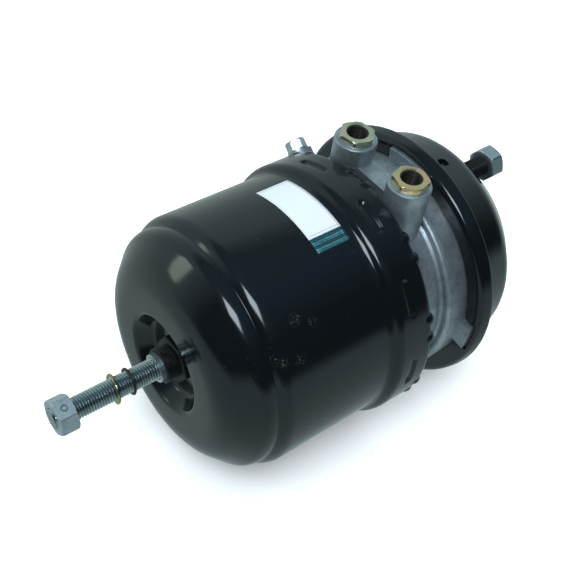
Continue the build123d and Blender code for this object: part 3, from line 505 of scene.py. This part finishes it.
def plain_steel():
    """Machined and oiled steel: a mid grey metal with fine turning lines round the axis."""
    material, tree, shader = new_material("Turned and oiled steel")
    point = object_point(tree)
    lines = add_node(tree, "ShaderNodeTexWave", {"bands_direction": "X", "Scale": 600.0, "Distortion": 1.5},
                     {"Vector": point}).outputs["Fac"]
    shader.inputs["Base Color"].default_value = colours().plain_steel
    shader.inputs["Metallic"].default_value = 1.0
    tree.links.new(mapped(tree, noise(tree, 3.0, 3.0, 0.6, point), 0.3, 0.7, 0.26, 0.42), shader.inputs["Roughness"])
    bumped(tree, shader, [(lines, 0.12, 0.02)])
    return material


def spring_lacquer():
    """Dipped spring lacquer: a dark blue-grey film, satin, with slight runs."""
    material, tree, shader = new_material("Dipped lacquer on spring steel")
    point = object_point(tree)
    shader.inputs["Base Color"].default_value = colours().spring_paint
    tree.links.new(mapped(tree, noise(tree, 6.0, 3.0, 0.6, point), 0.3, 0.7, 0.3, 0.5), shader.inputs["Roughness"])
    bumped(tree, shader, [(noise(tree, 3.0, 2.0, 0.5, point), 0.15, 0.1)])
    return material


def label_film():
    """Polyester film: white and satin, left blank, with a fine grey frame near its edge."""
    material, tree, shader = new_material("White polyester label film")
    place = add_node(tree, "ShaderNodeUVMap", {"uv_map": "place"}).outputs["UV"]
    parts = add_node(tree, "ShaderNodeSeparateXYZ", None, {0: place})
    frame_lines = []
    for axis, width in (("X", 0.035), ("Y", 0.045)):
        away = add_node(tree, "ShaderNodeMath", {"operation": "PINGPONG", 1: 0.5}, {0: parts.outputs[axis]}).outputs[0]
        line = add_node(tree, "ShaderNodeMath", {"operation": "COMPARE", 1: width, 2: 0.006}, {0: away}).outputs[0]
        inside = add_node(tree, "ShaderNodeMath", {"operation": "GREATER_THAN", 1: width - 0.01}, {0: away}).outputs[0]
        frame_lines.append((line, inside))
    first = add_node(tree, "ShaderNodeMath", {"operation": "MULTIPLY"}, {0: frame_lines[0][0], 1: frame_lines[1][1]})
    second = add_node(tree, "ShaderNodeMath", {"operation": "MULTIPLY"}, {0: frame_lines[1][0], 1: frame_lines[0][1]})
    both = add_node(tree, "ShaderNodeMath", {"operation": "MAXIMUM"}, {0: first.outputs[0], 1: second.outputs[0]})
    mix = add_node(tree, "ShaderNodeMix", {"data_type": "RGBA", 6: colours().label_paper, 7: linear("#9BA3A8")},
                   {0: both.outputs[0]})
    tree.links.new(mix.outputs[2], shader.inputs["Base Color"])
    shader.inputs["Roughness"].default_value = 0.35
    bumped(tree, shader, [(noise(tree, 9.0, 2.0, 0.5), 0.1, 0.05)])
    return material


def label_foil():
    """Embossed metallised film: a silver-blue foil with a fine diamond pattern that sparkles."""
    material, tree, shader = new_material("Embossed metallised film")
    point = object_point(tree)
    cells = add_node(tree, "ShaderNodeTexVoronoi", {"distance": "MANHATTAN", "Scale": 620.0, "Randomness": 0.15},
                     {"Vector": point})
    ramp = set_stops(add_node(tree, "ShaderNodeValToRGB", None, {"Fac": cells.outputs["Distance"]}),
                     [(0.15, linear("#DDF3F4")), (0.45, colours().label_strip), (0.75, linear("#2C5E66"))])
    tree.links.new(ramp.outputs["Color"], shader.inputs["Base Color"])
    shader.inputs["Metallic"].default_value = 0.8
    shader.inputs["Roughness"].default_value = 0.25
    bumped(tree, shader, [(cells.outputs["Distance"], 0.5, 0.15)])
    return material


def studio_floor():
    """Matt paper roll: pale and even."""
    material, tree, shader = new_material("Matt studio paper")
    shader.inputs["Roughness"].default_value = 0.9
    shader.inputs["Specular IOR Level"].default_value = 0.1
    shader.inputs["Emission Color"].default_value = linear("#FFFFFF")
    shader.inputs["Emission Strength"].default_value = 0.22
    mix = add_node(tree, "ShaderNodeMix", {"data_type": "RGBA", 6: colours().floor, 7: linear("#EFF0F0")},
                   {0: noise(tree, 60.0)})
    tree.links.new(mix.outputs[2], shader.inputs["Base Color"])
    return material


_made = {}


def finish(name):
    """The material of that name, made once."""
    makers = {
        "enamel": gloss_enamel,
        "scuffed_enamel": lambda: gloss_enamel("Black gloss enamel, handled", True),
        "zinc": zinc_plating,
        "satin_zinc": lambda: zinc_plating("Blue passivated zinc plating, satin", 0.5, 0.62),
        "root_shaded_zinc": lambda: zinc_plating("Blue passivated zinc plating, painted shade in thread roots", 0.24, 0.34, True),
        "gold": lambda: yellow_plating(
            "Yellow zinc, golden", colours().rose_zinc, colours().yellow_zinc, linear("#DED090")),
        "straw": lambda: yellow_plating(
            "Yellow zinc, pale", linear("#DCC6B8"), colours().green_zinc, linear("#C6CCA6")),
        "olive": lambda: yellow_plating(
            "Yellow zinc, olive", linear("#A5A07C"), colours().olive_zinc, linear("#C4C3A6")),
        "casting": cast_aluminium,
        "phosphate": phosphated_steel,
        "bore": bore_shade,
        "rubber": moulded_rubber,
        "steel": plain_steel,
        "lacquer": spring_lacquer,
        "plastic": guide_plastic,
        "label": label_film,
        "foil": label_foil,
        "floor": studio_floor,
    }
    if name not in _made:
        _made[name] = makers[name]()
    return _made[name]


# Pieces

# Places and sizes are in millimetres in the solids' frame, and turns go round the axis from +Y.

# Spring housing
STEP_X = -141.5                     # fine points start here, where the barrel has stepped out to the band
BAND_REAR_X = -113.2
BAND_LEAST_R = 93.0                 # the beads press only what lies outside this
BEAD_X = -131.0
BEAD_TURN = math.radians(71.0)
BEAD_HALF_LENGTH = 10.3
BEAD_HALF_WIDTH = 3.8
BEAD_SLOPE = 2.3
BEAD_DEPTH = 1.9
LOBE_SPREAD = math.radians(9.0)
LOBE_BALL_R = 6.0
LOBE_X = BAND_REAR_X + 2.8 - LOBE_BALL_R
LOBE_RISE = 1.2
LABEL_SPAN = (-180.5, -152.6)
LABEL_PARTS = (                     # name, first and last turn in degrees, finish
    ("label_blank", 69.0, 104.4, "label"),
    ("label_strip", 104.5, 111.3, "foil"),
)
LABEL_THICKNESS = 0.00012           # metres

# Neck
NECK_FLATS = 33.0
NECK_CORNER_R = 18.6
NECK_R = 13.0
NECK_BORE_R = 8.4
NECK_PITCH = 1.5
NECK_FRONT_X = -279.5

# Release bolt and what is on it
HEX_FLATS = 24.0                    # also the stud nuts and the port adapters
BOLT_TIP_X = -361.5
BOLT_HEAD_X = -166.5
NUT_SPAN = (-360.0, -347.0)
NUT_TURN = math.radians(107.0)
PIN_X = -353.5
LOOSE_RINGS = (                     # body, node, place, middle radius, wire radius, lean in degrees, finish, slot
    ("ring_washer", "bolt_ring_washer", -315.0, 9.9, 1.15, -7.5, "olive", "yellow_zinc"),
    ("bolt_o_ring", "bolt_o_ring", -303.0, 9.1, 0.95, -3.0, "rubber", "black_rubber"),
)

# Port adapters
PORT_X = -97.0
PORT_Y = 28.6
PORT_SPAN = (111.4, 115.6)          # an adapter's hexagon, from its seat to its mouth
PORT_SHADE_R = 8.15

# Service housing and studs
LUG_TURNS = (90.0, 182.5, 270.0, 357.5)
LUG_SPANS = (22.0, 13.0, 13.0, 13.0)
LIP_LAST_X = -62.0
NOTCH_R = 101.0
NOTCH_ROOM = 1.8                    # degrees, on both sides of a lug
DRAIN_X = -39.0
DRAIN_TURN = 96.0
DRAIN_WALL_R = 93.0
DRAIN_R = 3.6
DRAIN_DEPTH = 6.0
STUD_TURN = 94.0
STUD_CIRCLE_R = 60.325
STUD_SPAN = (-2.8, 36.0)
STUD_R = 8.0
STUD_PITCH = 2.0
STUD_NUT_SPAN = (20.6, 33.6)

# Ends of the pieces that stretch
POWER_SPRING_ENDS = (-264.5, -183.5)
RETURN_SPRING_ENDS = (-69.4, -4.8)
DIAPHRAGM_ENDS = (-76.0, -60.0)
BOOT_ENDS = (-4.4, 7.0)

LIGHTS_AIM_X = -0.16                # metres


def nearest(turn, first, pitch):
    """How far a turn is from the nearest of turns that repeat from the first at a pitch."""
    return (turn - first + pitch / 2) % pitch - pitch / 2


def spring_housing_grid():
    """Section turned about the axis, pushed in at the beads and out at the crimp lobes.

    A bead is the set of points near a short arc: depth times smoothstep of the distance left to its rim.
    A lobe is a ball: a point of the outer skin that lies inside the ball moves away from its middle, onto it."""
    s = sizes()
    barrel, band, sheet = s.barrel_radius / MM, s.band_radius / MM, s.spring_sheet / MM
    path = rounded([
        (-263.0, 13.4, 0), (-263.0, 31.0, 5.0), (-276.0, 37.5, 4.0), (-276.0, 68.0, 34.0), (-253.0, 91.3, 16.0),
        (-244.8, 90.9, 1.0), (-239.4, barrel, 12.0), (-148.8, barrel, 8.0), (-143.4, band, 8.0),
        (BAND_REAR_X, band, 4.5), (BAND_REAR_X, 93.6, 0)], 10)
    front, rear = path[path[:, 0] < STEP_X], path[path[:, 0] >= STEP_X]
    path = np.vstack([resampled(front, 12.0)[:-1], resampled(np.vstack([front[-1:], rear]), 0.8)])
    section = sheet_section(path, sheet, 3)
    outer = (np.arange(len(section)) < len(path))[:, None]
    turn = np.linspace(0, 2 * math.pi, 540, endpoint=False)[None, :]
    x, radius = section[:, :1], section[:, 1:]
    pitch = 2 * math.pi / s.bead_count
    along = np.maximum(np.abs(nearest(turn, BEAD_TURN, pitch)) * band - BEAD_HALF_LENGTH, 0)
    rim = BEAD_HALF_WIDTH - np.hypot(along, x - BEAD_X)
    radius = radius - BEAD_DEPTH * smoothstep(rim / BEAD_SLOPE) * (radius > BAND_LEAST_R)
    x, radius, turn = (part.copy() for part in np.broadcast_arrays(x, radius, turn))
    for side in (-1, 1):
        away = nearest(turn, BEAD_TURN + pitch / 2 + side * LOBE_SPREAD / 2, pitch) * band
        along_x, outwards = x - LOBE_X, radius - (band + LOBE_RISE - LOBE_BALL_R)
        gap = np.sqrt(along_x ** 2 + outwards ** 2 + away ** 2)
        grow = np.where(outer & (gap < LOBE_BALL_R), LOBE_BALL_R / np.maximum(gap, 1e-3), 1.0) - 1.0
        x, radius, turn = x + along_x * grow, radius + outwards * grow, turn + away * grow / band
    return around(x, radius, turn)


def threaded_neck(name):
    """A thread in front of a hexagon foot, with a through bore, as rings from the bore's rear end to its front end.

    A foot's ring is the lesser of the hexagon's radius and the radius that trims its corners."""
    turn = np.linspace(0, 2 * math.pi, 120, endpoint=False)[None, :]
    foot = np.minimum(hexagon_radius(turn, NECK_FLATS, math.radians(30.0)), NECK_CORNER_R)
    x = np.arange(-269.6, -279.1, -0.19)[:, None]
    thread = NECK_R - 0.9 * thread_wave(x, turn, NECK_PITCH)
    rings = [(-250.0, NECK_BORE_R), (-250.0, NECK_R), (-263.0, NECK_R), (-263.0, foot), (-268.4, foot),
             (-269.2, foot - 0.9), (-269.4, 13.2)]
    rows = [around(at, radius + 0 * turn, turn) for at, radius in rings]
    rows += [around(x, thread, turn), around(NECK_FRONT_X, 12.0 + 0 * turn, turn),
             around(NECK_FRONT_X, NECK_BORE_R + 0 * turn, turn)]
    return surface(name, np.vstack(rows), True, True)


def thread_wave(x, turn, pitch):
    """A rounded thread: 0 at the crest, 1 at the root, of the place along the axis less the turn's share of a pitch."""
    share = (x / pitch - turn / (2 * math.pi)) % 1.0
    return smoothstep((np.abs(share - 0.5) * 2 - 0.1) / 0.8)


def threaded_rod(name, x0, x1, crest, pitch, head=()):
    """A rod with a thread, chamfered at both ends, and a head of (x, radius) points at its far end.

    Its radius is the crest less the thread's depth, 0.6 of the pitch, times the wave, which fades out at the far
    end, and never more than the end chamfer allows."""
    columns = 56
    x = np.arange(x0, x1, pitch / 8)
    turn = np.linspace(0, 2 * math.pi, columns, endpoint=False)[None, :]
    fade = smoothstep((x1 - x) / 2.0)[:, None]
    radius = crest - 0.6 * pitch * fade * thread_wave(x[:, None], turn, pitch)
    radius = np.minimum(radius, crest - 1.5 + (x - x0)[:, None])
    if not head:
        radius = np.minimum(radius, crest - 1.5 + (x1 - x)[:, None])
    grid = around(x[:, None], radius, turn)
    ends = [around(np.array([[x0]]), np.zeros((1, columns)), turn), grid]
    last = list(head) + [(head[-1][0] if head else x[-1], 0.0)]
    ends += [around(np.array([[px]]), np.full((1, columns), pr), turn) for px, pr in last]
    return surface(name, np.vstack(ends), False, True)


def hexagon_radius(turn, flats, first):
    """Distance from the centre to a hexagon's side, with one flat's middle at the first turn."""
    off = (turn - first + math.pi / 6) % (math.pi / 3) - math.pi / 6
    return flats / 2 / np.cos(off)


def hex_piece(name, z0, z1, flats, first, bore, face, pitch=0.0, both=True, rise=0.5, shank=0.0, shank_radius=0.0):
    """A hexagon nut along +X: bore, faces, and sides held inside a cone at each chamfered end.

    A side point's radius is the lesser of the hexagon's and of the cone's, which widens from the face circle by the
    distance from the end over the rise. The bore carries a thread where a pitch is given, and goes on through a
    round shank below the first end where one is given."""
    columns = 144
    turn = np.linspace(0, 2 * math.pi, columns, endpoint=False)[None, :]
    depth = np.array([0, 0.15, 0.35, 0.6, 0.9, 1.3, 1.8, 2.4])
    depth = depth[depth < (z1 - z0) / 2]
    z = np.concatenate([z0 + depth, (z1 - depth)[::-1]])[:, None]
    from_end = np.minimum(z - z0, z1 - z) if both else z1 - z
    side = np.minimum(hexagon_radius(turn, flats, first), face + from_end / rise)
    side = np.minimum(side, flats / 2 / math.cos(math.pi / 6) - 0.25)
    low = z0 - shank
    steps = np.arange(low + 0.4, z1 - 0.4, pitch / 8)[::-1, None] if pitch else np.array([[z1 - 0.4], [low + 0.4]])
    wall = bore - 0.6 * pitch * (1 - thread_wave(steps, turn, pitch)) if pitch else bore + 0 * steps * turn
    rows = [around(z, side, turn), around(z1, bore + 0.2 + 0 * turn, turn), around(steps, wall, turn),
            around(low, bore + 0.2 + 0 * turn, turn)]
    if shank:
        rows += [around(low, shank_radius + 0 * turn, turn), around(z0, shank_radius + 0 * turn, turn)]
    return surface(name, np.vstack(rows), True, True, 28.0)


def shade_lined(piece, middle, reach, material):
    """Gives the faces within reach of an upright axis the lining's material, a painted shade: the distance to it is
    less than that.
    """
    piece.data.materials.append(material)
    centres = np.empty(len(piece.data.polygons) * 3)
    piece.data.polygons.foreach_get("center", centres)
    away = np.hypot(centres[0::3] / MM - middle[0], centres[1::3] / MM - middle[1])
    piece.data.polygons.foreach_set("material_index", (away < reach).astype(np.int32))


def coil(name, x0, x1, r0, r1, wire, turns):
    """A coil spring: a tube whose middle goes round the axis while its place and radius change evenly.

    A point is the middle plus the wire's radius times cosine outwards and sine along the axis."""
    share = np.linspace(0, 1, int(turns * 44))[:, None]
    turn = share * turns * 2 * math.pi
    lap = np.linspace(0, 2 * math.pi, 14, endpoint=False)[None, :]
    middle_x, middle_r = x0 + share * (x1 - x0), r0 + share * (r1 - r0)
    tube = around(middle_x + wire * np.sin(lap), middle_r + wire * np.cos(lap), turn + 0 * lap)
    ends = [around(middle_x[i] + 0 * lap, middle_r[i] + 0 * lap, turn[i] + 0 * lap) for i in (0, -1)]
    return surface(name, np.vstack([ends[0], tube, ends[1]]), False, True)


def bent(piece, material, slot, node, first, second, start, end):
    """Gives a soft or sprung piece its finish, hides the solid that it stands for and bakes its place into its mesh.
    The slot, the two bodies and the two ends are not used.
    """
    piece.data.materials.append(material)
    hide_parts(node)
    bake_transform(piece)


class ChamberOperator(bpy.types.Operator):
    """Makes one piece or group of the chamber."""
    bl_options = {"REGISTER", "UNDO"}

    def execute(self, context):
        self.make()
        return {"FINISHED"}


class CHAMBER_OT_spring_housing(ChamberOperator):
    """Draws the spring housing with its beads and crimp lobes, and its threaded neck."""
    bl_idname = "chamber.spring_housing"
    bl_label = "Spring Housing"

    def make(self):
        shell = surface("spring_housing_shell", spring_housing_grid(), True, True, 50.0)
        bears(shell, "chamber", finish("scuffed_enamel"), "black_paint", "spring_housing")
        bears(threaded_neck("neck_threaded"), "chamber", finish("phosphate"), "black_paint", "neck_bush")


class CHAMBER_OT_service_housing(ChamberOperator):
    """Draws the service housing with its folded collar, notches and drain dimples."""
    bl_idname = "chamber.service_housing"
    bl_label = "Service Housing"

    def make(self):
        """The lip's end is drawn back towards the fold inside each notch, and each drain is a deep dimple."""
        sheet = sizes().service_sheet / MM
        path = resampled(rounded([
            (-66.0, 90.0, 0), (-66.0, 102.6, 5.0), (-57.0, 104.4, 0), (-54.0, 104.4, 1.6), (-54.0, 95.4, 5.0),
            (-20.0, 88.4, 20.0), (0.0, 70.0, 6.0), (0.0, 36.0, 0)], 10), 1.6)
        section = sheet_section(path, sheet, 3)
        turn = np.linspace(0, 2 * math.pi, 600, endpoint=False)[None, :]
        x, radius = section[:, :1], section[:, 1:] + 0 * turn
        notch = 0 * turn
        for middle, span in zip(LUG_TURNS, LUG_SPANS):
            away = np.abs(nearest(turn, math.radians(middle), 2 * math.pi))
            reach = math.radians(span / 2 + NOTCH_ROOM)
            notch = np.maximum(notch, smoothstep((reach - away) / math.radians(0.8) + 0.5))
        lip = (x < LIP_LAST_X) & (radius < NOTCH_R)
        radius = np.where(lip, radius + notch * (NOTCH_R - radius), radius)
        for i in range(4):
            away = nearest(turn, math.radians(DRAIN_TURN + 90 * i), 2 * math.pi) * DRAIN_WALL_R
            hole = smoothstep((DRAIN_R - np.hypot(away, x - DRAIN_X)) / 0.6 + 0.5) * (x > -53.0) * (x < -25.0)
            radius = radius - DRAIN_DEPTH * hole
        bears(surface("service_housing_shell", around(x, radius, turn), True, True, 50.0), "chamber",
              finish("enamel"), "black_paint", "service_housing")
        finish_node("boot_ring", finish("steel"))


class CHAMBER_OT_centre_flange(ChamberOperator):
    """Finishes the cast flange, its plug, its seals and guides, and the plated rings under the adapters."""
    bl_idname = "chamber.centre_flange"
    bl_label = "Centre Flange"

    def make(self):
        finish_node("centre_flange", finish("casting"))
        finish_node("side_plug", finish("zinc"))
        finish_node("port_seals", finish("zinc"))
        for name in ("spigot_o_ring", "tube_seal"):
            finish_node(name, finish("rubber"))
        finish_node("tube_guides", finish("plastic"))


class CHAMBER_OT_release_bolt(ChamberOperator):
    """Draws the threaded release bolt, its nut and pin, and the two loose rings that hang a little askew on it."""
    bl_idname = "chamber.release_bolt"
    bl_label = "Release Bolt"

    def make(self):
        s = sizes()
        bolt = threaded_rod("release_bolt_threaded", BOLT_TIP_X, BOLT_HEAD_X, s.bolt_radius / MM, s.bolt_pitch / MM,
                            ((BOLT_HEAD_X, 12.5), (-159.0, 12.5), (-157.5, 11.0)))
        bears(bolt, "bolt", finish("root_shaded_zinc"), "bright_zinc", "release_bolt")
        nut = hex_piece("release_nut_plated", *NUT_SPAN, HEX_FLATS, NUT_TURN, bore=7.9, face=12.5, rise=0.8)
        bears(nut, "bolt", finish("satin_zinc"), "bright_zinc", "release_nut")
        rolled = np.array([(-12.2, 1.7), (-12.2, 2.2), (-11.9, 2.5), (11.9, 2.5), (12.2, 2.2), (12.2, 1.7)])
        pin = placed(lathe("nut_pin_rolled", rolled, 40), Matrix.Translation((PIN_X, 0, 0)) @ Matrix.Rotation(
            NUT_TURN, 4, "X") @ Matrix.Rotation(math.pi / 2, 4, "Z"))
        bears(pin, "bolt", finish("steel"), "bright_zinc", "nut_pin")
        finish_node("neck_washer", finish("zinc"))
        for body, node, x, middle, wire, lean, tone, slot in LOOSE_RINGS:
            lap = np.linspace(0, 2 * math.pi, 18, endpoint=False)
            ring = lathe(f"{node}_loose", np.stack([wire * np.cos(lap), middle + wire * np.sin(lap)], axis=1), 96)
            placed(ring, Matrix.Translation((x, 0, 0)) @ Matrix.Rotation(math.radians(lean), 4, "Z"))
            bears(ring, body, finish(tone), slot, node)
        finish_node("bolt_thrust_ring", finish("steel"))


class CHAMBER_OT_ports(ChamberOperator):
    """Draws both hexagon port adapters with their threads."""
    bl_idname = "chamber.ports"
    bl_label = "Port Adapters"

    def make(self):
        upright = Matrix(((0, 1, 0, 0), (0, 0, 1, 0), (1, 0, 0, 0), (0, 0, 0, 1)))
        for side, turn, tone in ((1, 12.0, "straw"), (-1, -16.0, "gold")):
            name = "spring_port_adapter" if side == 1 else "service_port_adapter"
            piece = hex_piece(name, *PORT_SPAN, HEX_FLATS, math.radians(turn), bore=8.1, face=12.7,
                              pitch=sizes().port_pitch / MM, both=False, rise=0.7, shank=13.4, shank_radius=9.0)
            placed(piece, Matrix.Translation((PORT_X, side * PORT_Y, 0)) @ upright)
            bears(piece, "chamber", finish(tone), "yellow_zinc")
            # Painted shade: the faces of each adapter's bore get the dark material.
            shade_lined(piece, (PORT_X, side * PORT_Y), PORT_SHADE_R, finish("bore"))
        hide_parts("port_adapters")


class CHAMBER_OT_mounting_studs(ChamberOperator):
    """Draws the threaded mounting studs and their nuts."""
    bl_idname = "chamber.mounting_studs"
    bl_label = "Mounting Studs"

    def make(self):
        studs, nuts = [], []
        for i in range(2):
            turn = math.radians(STUD_TURN + 180 * i)
            move = Matrix.Translation((0, STUD_CIRCLE_R * math.cos(turn), STUD_CIRCLE_R * math.sin(turn)))
            studs.append(placed(threaded_rod("stud", *STUD_SPAN, STUD_R, STUD_PITCH), move))
            nut = hex_piece("nut", *STUD_NUT_SPAN, HEX_FLATS, math.radians(120.0) + turn, bore=7.4, face=11.4)
            nuts.append(placed(nut, move))
        bears(join("mounting_studs_threaded", studs), "chamber", finish("phosphate"), "bright_zinc", "mounting_studs")
        bears(join("stud_nuts_plated", nuts), "chamber", finish("zinc"), "bright_zinc", "stud_nuts")


class CHAMBER_OT_label(ChamberOperator):
    """Draws the blank label and its shiny strip on the barrel."""
    bl_idname = "chamber.label"
    bl_label = "Blank Label"

    def make(self):
        """Each is a patch of a cylinder a little larger than the barrel, with a thickness."""
        s = sizes()
        radius = (s.barrel_radius + s.label_radius_gap) / MM
        for name, first, last, material in LABEL_PARTS:
            x = np.linspace(*LABEL_SPAN, 12)[:, None]
            turn = np.radians(np.linspace(first, last, 60))[None, :]
            patch = surface(name, around(x, radius + 0 * turn * x, turn), uv=True)
            solid = patch.modifiers.new("thickness", "SOLIDIFY")
            solid.thickness = LABEL_THICKNESS
            solid.offset = 1.0
            bears(patch, "chamber", finish(material), "bright_zinc")


class CHAMBER_OT_inner_parts(ChamberOperator):
    """Draws the springs, diaphragm and boot, and finishes the piston and push rod."""
    bl_idname = "chamber.inner_parts"
    bl_label = "Inner Parts"

    def make(self):
        power = coil("power_spring_coil", *POWER_SPRING_ENDS, r0=58.0, r1=58.0, wire=7.0, turns=5.5)
        bent(power, finish("lacquer"), "spring_paint", "power_spring", "chamber", "piston", *POWER_SPRING_ENDS)
        back = coil("return_spring_coil", *RETURN_SPRING_ENDS, r0=27.0, r1=48.0, wire=2.0, turns=4.5)
        bent(back, finish("lacquer"), "spring_paint", "return_spring", "push_rod", "chamber", *RETURN_SPRING_ENDS)
        skin = sheet_section(rounded([
            (-59.6, 98.9, 0), (-59.6, 85.6, 3.0), (-79.5, 70.0, 8.0), (-79.5, 0.0, 0)], 8), -2.8)
        bent(lathe("diaphragm_moulded", resampled(skin, 4.0)), finish("rubber"), "black_rubber", "diaphragm",
             "push_rod", "chamber", *DIAPHRAGM_ENDS)
        self.boot()
        finish_node("parking_piston", finish("casting"))
        for name in ("piston_tube", "tube_plunger", "push_plate", "push_rod"):
            finish_node(name, finish("steel"))
        finish_node("piston_lip_seal", finish("rubber"))
        finish_node("piston_wear_ring", finish("plastic"))

    def boot(self):
        """A sheet that goes in and out between outer and inner folds, nearer to the rod each time, then a sleeve."""
        path = rounded([
            (-4.4, 31.7, 0), (-2.2, 31.7, 0.65), (-2.0, 16.6, 0.65), (0.2, 16.6, 0.65), (0.4, 27.7, 0.65),
            (2.4, 27.7, 0.65), (2.6, 14.6, 0.65), (4.2, 14.6, 0.65), (4.4, 23.7, 0.6), (5.8, 23.7, 0.6),
            (6.0, 12.6, 0.6), (7.0, 12.6, 0)], 7)
        bent(lathe("dust_boot_pleated", sheet_section(path, 0.9), 128), finish("rubber"), "black_rubber", "dust_boot",
             "chamber", "push_rod", *BOOT_ENDS)


class CHAMBER_OT_studio(ChamberOperator):
    """Builds the floor, the lights and the camera."""
    bl_idname = "chamber.studio"
    bl_label = "Studio"

    def make(self):
        low = CAD_BOX[0][2] / MM
        corner = np.linspace(-3000, 3000, 9)
        x, y = np.meshgrid(corner, corner, indexing="ij")
        floor = surface("studio_floor", np.stack([x, y, 0 * x + low - 0.2], axis=-1))
        if floor.data.polygons[0].normal.z < 0:
            floor.data.flip_normals()
        floor.data.materials.append(finish("floor"))
        floor.visible_glossy = False
        self.world()
        self.light("key_softbox", (-0.475, -0.32, 0.82), away=1.6, width=0.66, height=0.60, power=13.5, tint="#DFECF7")
        self.light("window_panel", (-0.679, 0.611, 0.407), away=1.6, width=0.34, height=0.40, power=1.1, tint="#F2FFEA")
        ceiling = self.light(
            "ceiling_panel", (-0.10, -0.05, 1.0), away=2.2, width=2.6, height=2.6, power=78.0, tint="#FFFFFF")
        ceiling.visible_glossy = False
        self.camera()

    def world(self):
        """A room with a dim side behind the camera, a pale wall behind the chamber, and a grey floor under both.

        Each side is a ramp of the direction's height, from straight down to straight up."""
        world = bpy.data.worlds.new("Studio room")
        bpy.context.scene.world = world
        world.use_nodes = True
        tree = world.node_tree
        back = tree.nodes["Background"]
        way = add_node(tree, "ShaderNodeTexCoord").outputs["Generated"]
        height = add_node(tree, "ShaderNodeSeparateXYZ", None, {0: way}).outputs["Z"]
        rise = mapped(tree, height, -1.0, 1.0, 0.0, 1.0)
        sides = []
        for stops in (
                [(0.0, "#A3B5B7"), (0.42, "#A3BABF"), (0.50, "#1C2024"),
                 (0.76, "#1D2226"), (0.90, "#4A6F86"), (1.0, "#5A7A8C")],
                [(0.0, "#A3B5B7"), (0.42, "#BCCFCB"), (0.52, "#B4CCCE"),
                 (0.84, "#AECACF"), (0.91, "#56707A"), (1.0, "#5A7A8C")]):
            ramp = add_node(tree, "ShaderNodeValToRGB", None, {"Fac": rise})
            sides.append(set_stops(ramp, [(place, linear(code)) for place, code in stops]).outputs["Color"])
        facing = add_node(tree, "ShaderNodeVectorMath", {"operation": "DOT_PRODUCT", 1: (0.26, 0.97, 0.0)}, {0: way})
        share = mapped(tree, facing.outputs["Value"], -0.15, 0.35, 0.0, 1.0)
        both = add_node(tree, "ShaderNodeMix", {"data_type": "RGBA"}, {0: share, 6: sides[0], 7: sides[1]})
        tree.links.new(both.outputs[2], back.inputs["Color"])
        back.inputs["Strength"].default_value = 1.0

    def light(self, name, way, away, width, height, power, tint):
        """A softbox that stands away from the chamber along a direction and faces it."""
        data = bpy.data.lights.new(name, "AREA")
        data.shape = "RECTANGLE"
        data.size, data.size_y = width, height
        data.energy = power
        data.color = linear(tint)[:3]
        lamp = bpy.data.objects.new(name, data)
        bpy.context.scene.collection.objects.link(lamp)
        middle = Vector((LIGHTS_AIM_X, 0, 0))
        direction = Vector(way).normalized()
        turned = direction.to_track_quat("Z", "Y").to_matrix().to_4x4()
        lamp.matrix_world = Matrix.Translation(middle + direction * away) @ turned
        return lamp

    def camera(self):
        """The camera looks along the azimuth and elevation, then rolls about its own axis."""
        values = bpy.context.scene.studio_values
        a, e, r = values.azimuth, values.elevation, values.roll
        back = Vector((math.sin(a) * math.cos(e), -math.cos(a) * math.cos(e), math.sin(e)))
        right = Vector((math.cos(a), math.sin(a), 0))
        up = back.cross(right)
        across = math.cos(r) * right + math.sin(r) * up
        upward = -math.sin(r) * right + math.cos(r) * up
        data = bpy.data.cameras.new("photo_camera")
        data.lens = values.lens
        data.sensor_width = 36.0
        data.clip_start, data.clip_end = 0.01, 20.0
        camera = bpy.data.objects.new("photo_camera", data)
        bpy.context.scene.collection.objects.link(camera)
        turned = Matrix((across, upward, back)).transposed().to_4x4()
        camera.matrix_world = Matrix.Translation(values.camera_place) @ turned
        bpy.context.scene.camera = camera


OPERATORS = (
    CHAMBER_OT_studio,
    CHAMBER_OT_spring_housing,
    CHAMBER_OT_service_housing,
    CHAMBER_OT_centre_flange,
    CHAMBER_OT_release_bolt,
    CHAMBER_OT_ports,
    CHAMBER_OT_mounting_studs,
    CHAMBER_OT_label,
    CHAMBER_OT_inner_parts,
)


class CHAMBER_PT_panel(bpy.types.Panel):
    """Lists the chamber's sizes, colours and pieces."""
    bl_idname = "CHAMBER_PT_panel"
    bl_label = "Brake Chamber"
    bl_space_type = "VIEW_3D"
    bl_region_type = "UI"
    bl_category = "Brake Chamber"

    def draw(self, context):
        for group in (context.scene.chamber_sizes, context.scene.chamber_colours, context.scene.studio_values):
            box = self.layout.box()
            for name in group.__annotations__:
                box.prop(group, name)
        for operator in OPERATORS:
            self.layout.operator(operator.bl_idname)


GROUPS = {"chamber_sizes": ChamberSizes, "chamber_colours": ChamberColours, "studio_values": StudioValues}


def register():
    """Registers the property groups, the operators and the panel."""
    for name, group in GROUPS.items():
        bpy.utils.register_class(group)
        setattr(bpy.types.Scene, name, bpy.props.PointerProperty(type=group))
    for item in (*OPERATORS, CHAMBER_PT_panel):
        bpy.utils.register_class(item)


def unregister():
    """Takes everything back out."""
    for item in (CHAMBER_PT_panel, *reversed(OPERATORS)):
        bpy.utils.unregister_class(item)
    for name, group in GROUPS.items():
        delattr(bpy.types.Scene, name)
        bpy.utils.unregister_class(group)


def main():
    """Builds the dressed chamber."""
    register()
    bpy.context.scene.view_settings.view_transform = "Standard"
    for operator in OPERATORS:
        group, name = operator.bl_idname.split(".")
        getattr(getattr(bpy.ops, group), name)()


if __name__ == "__main__":
    main()
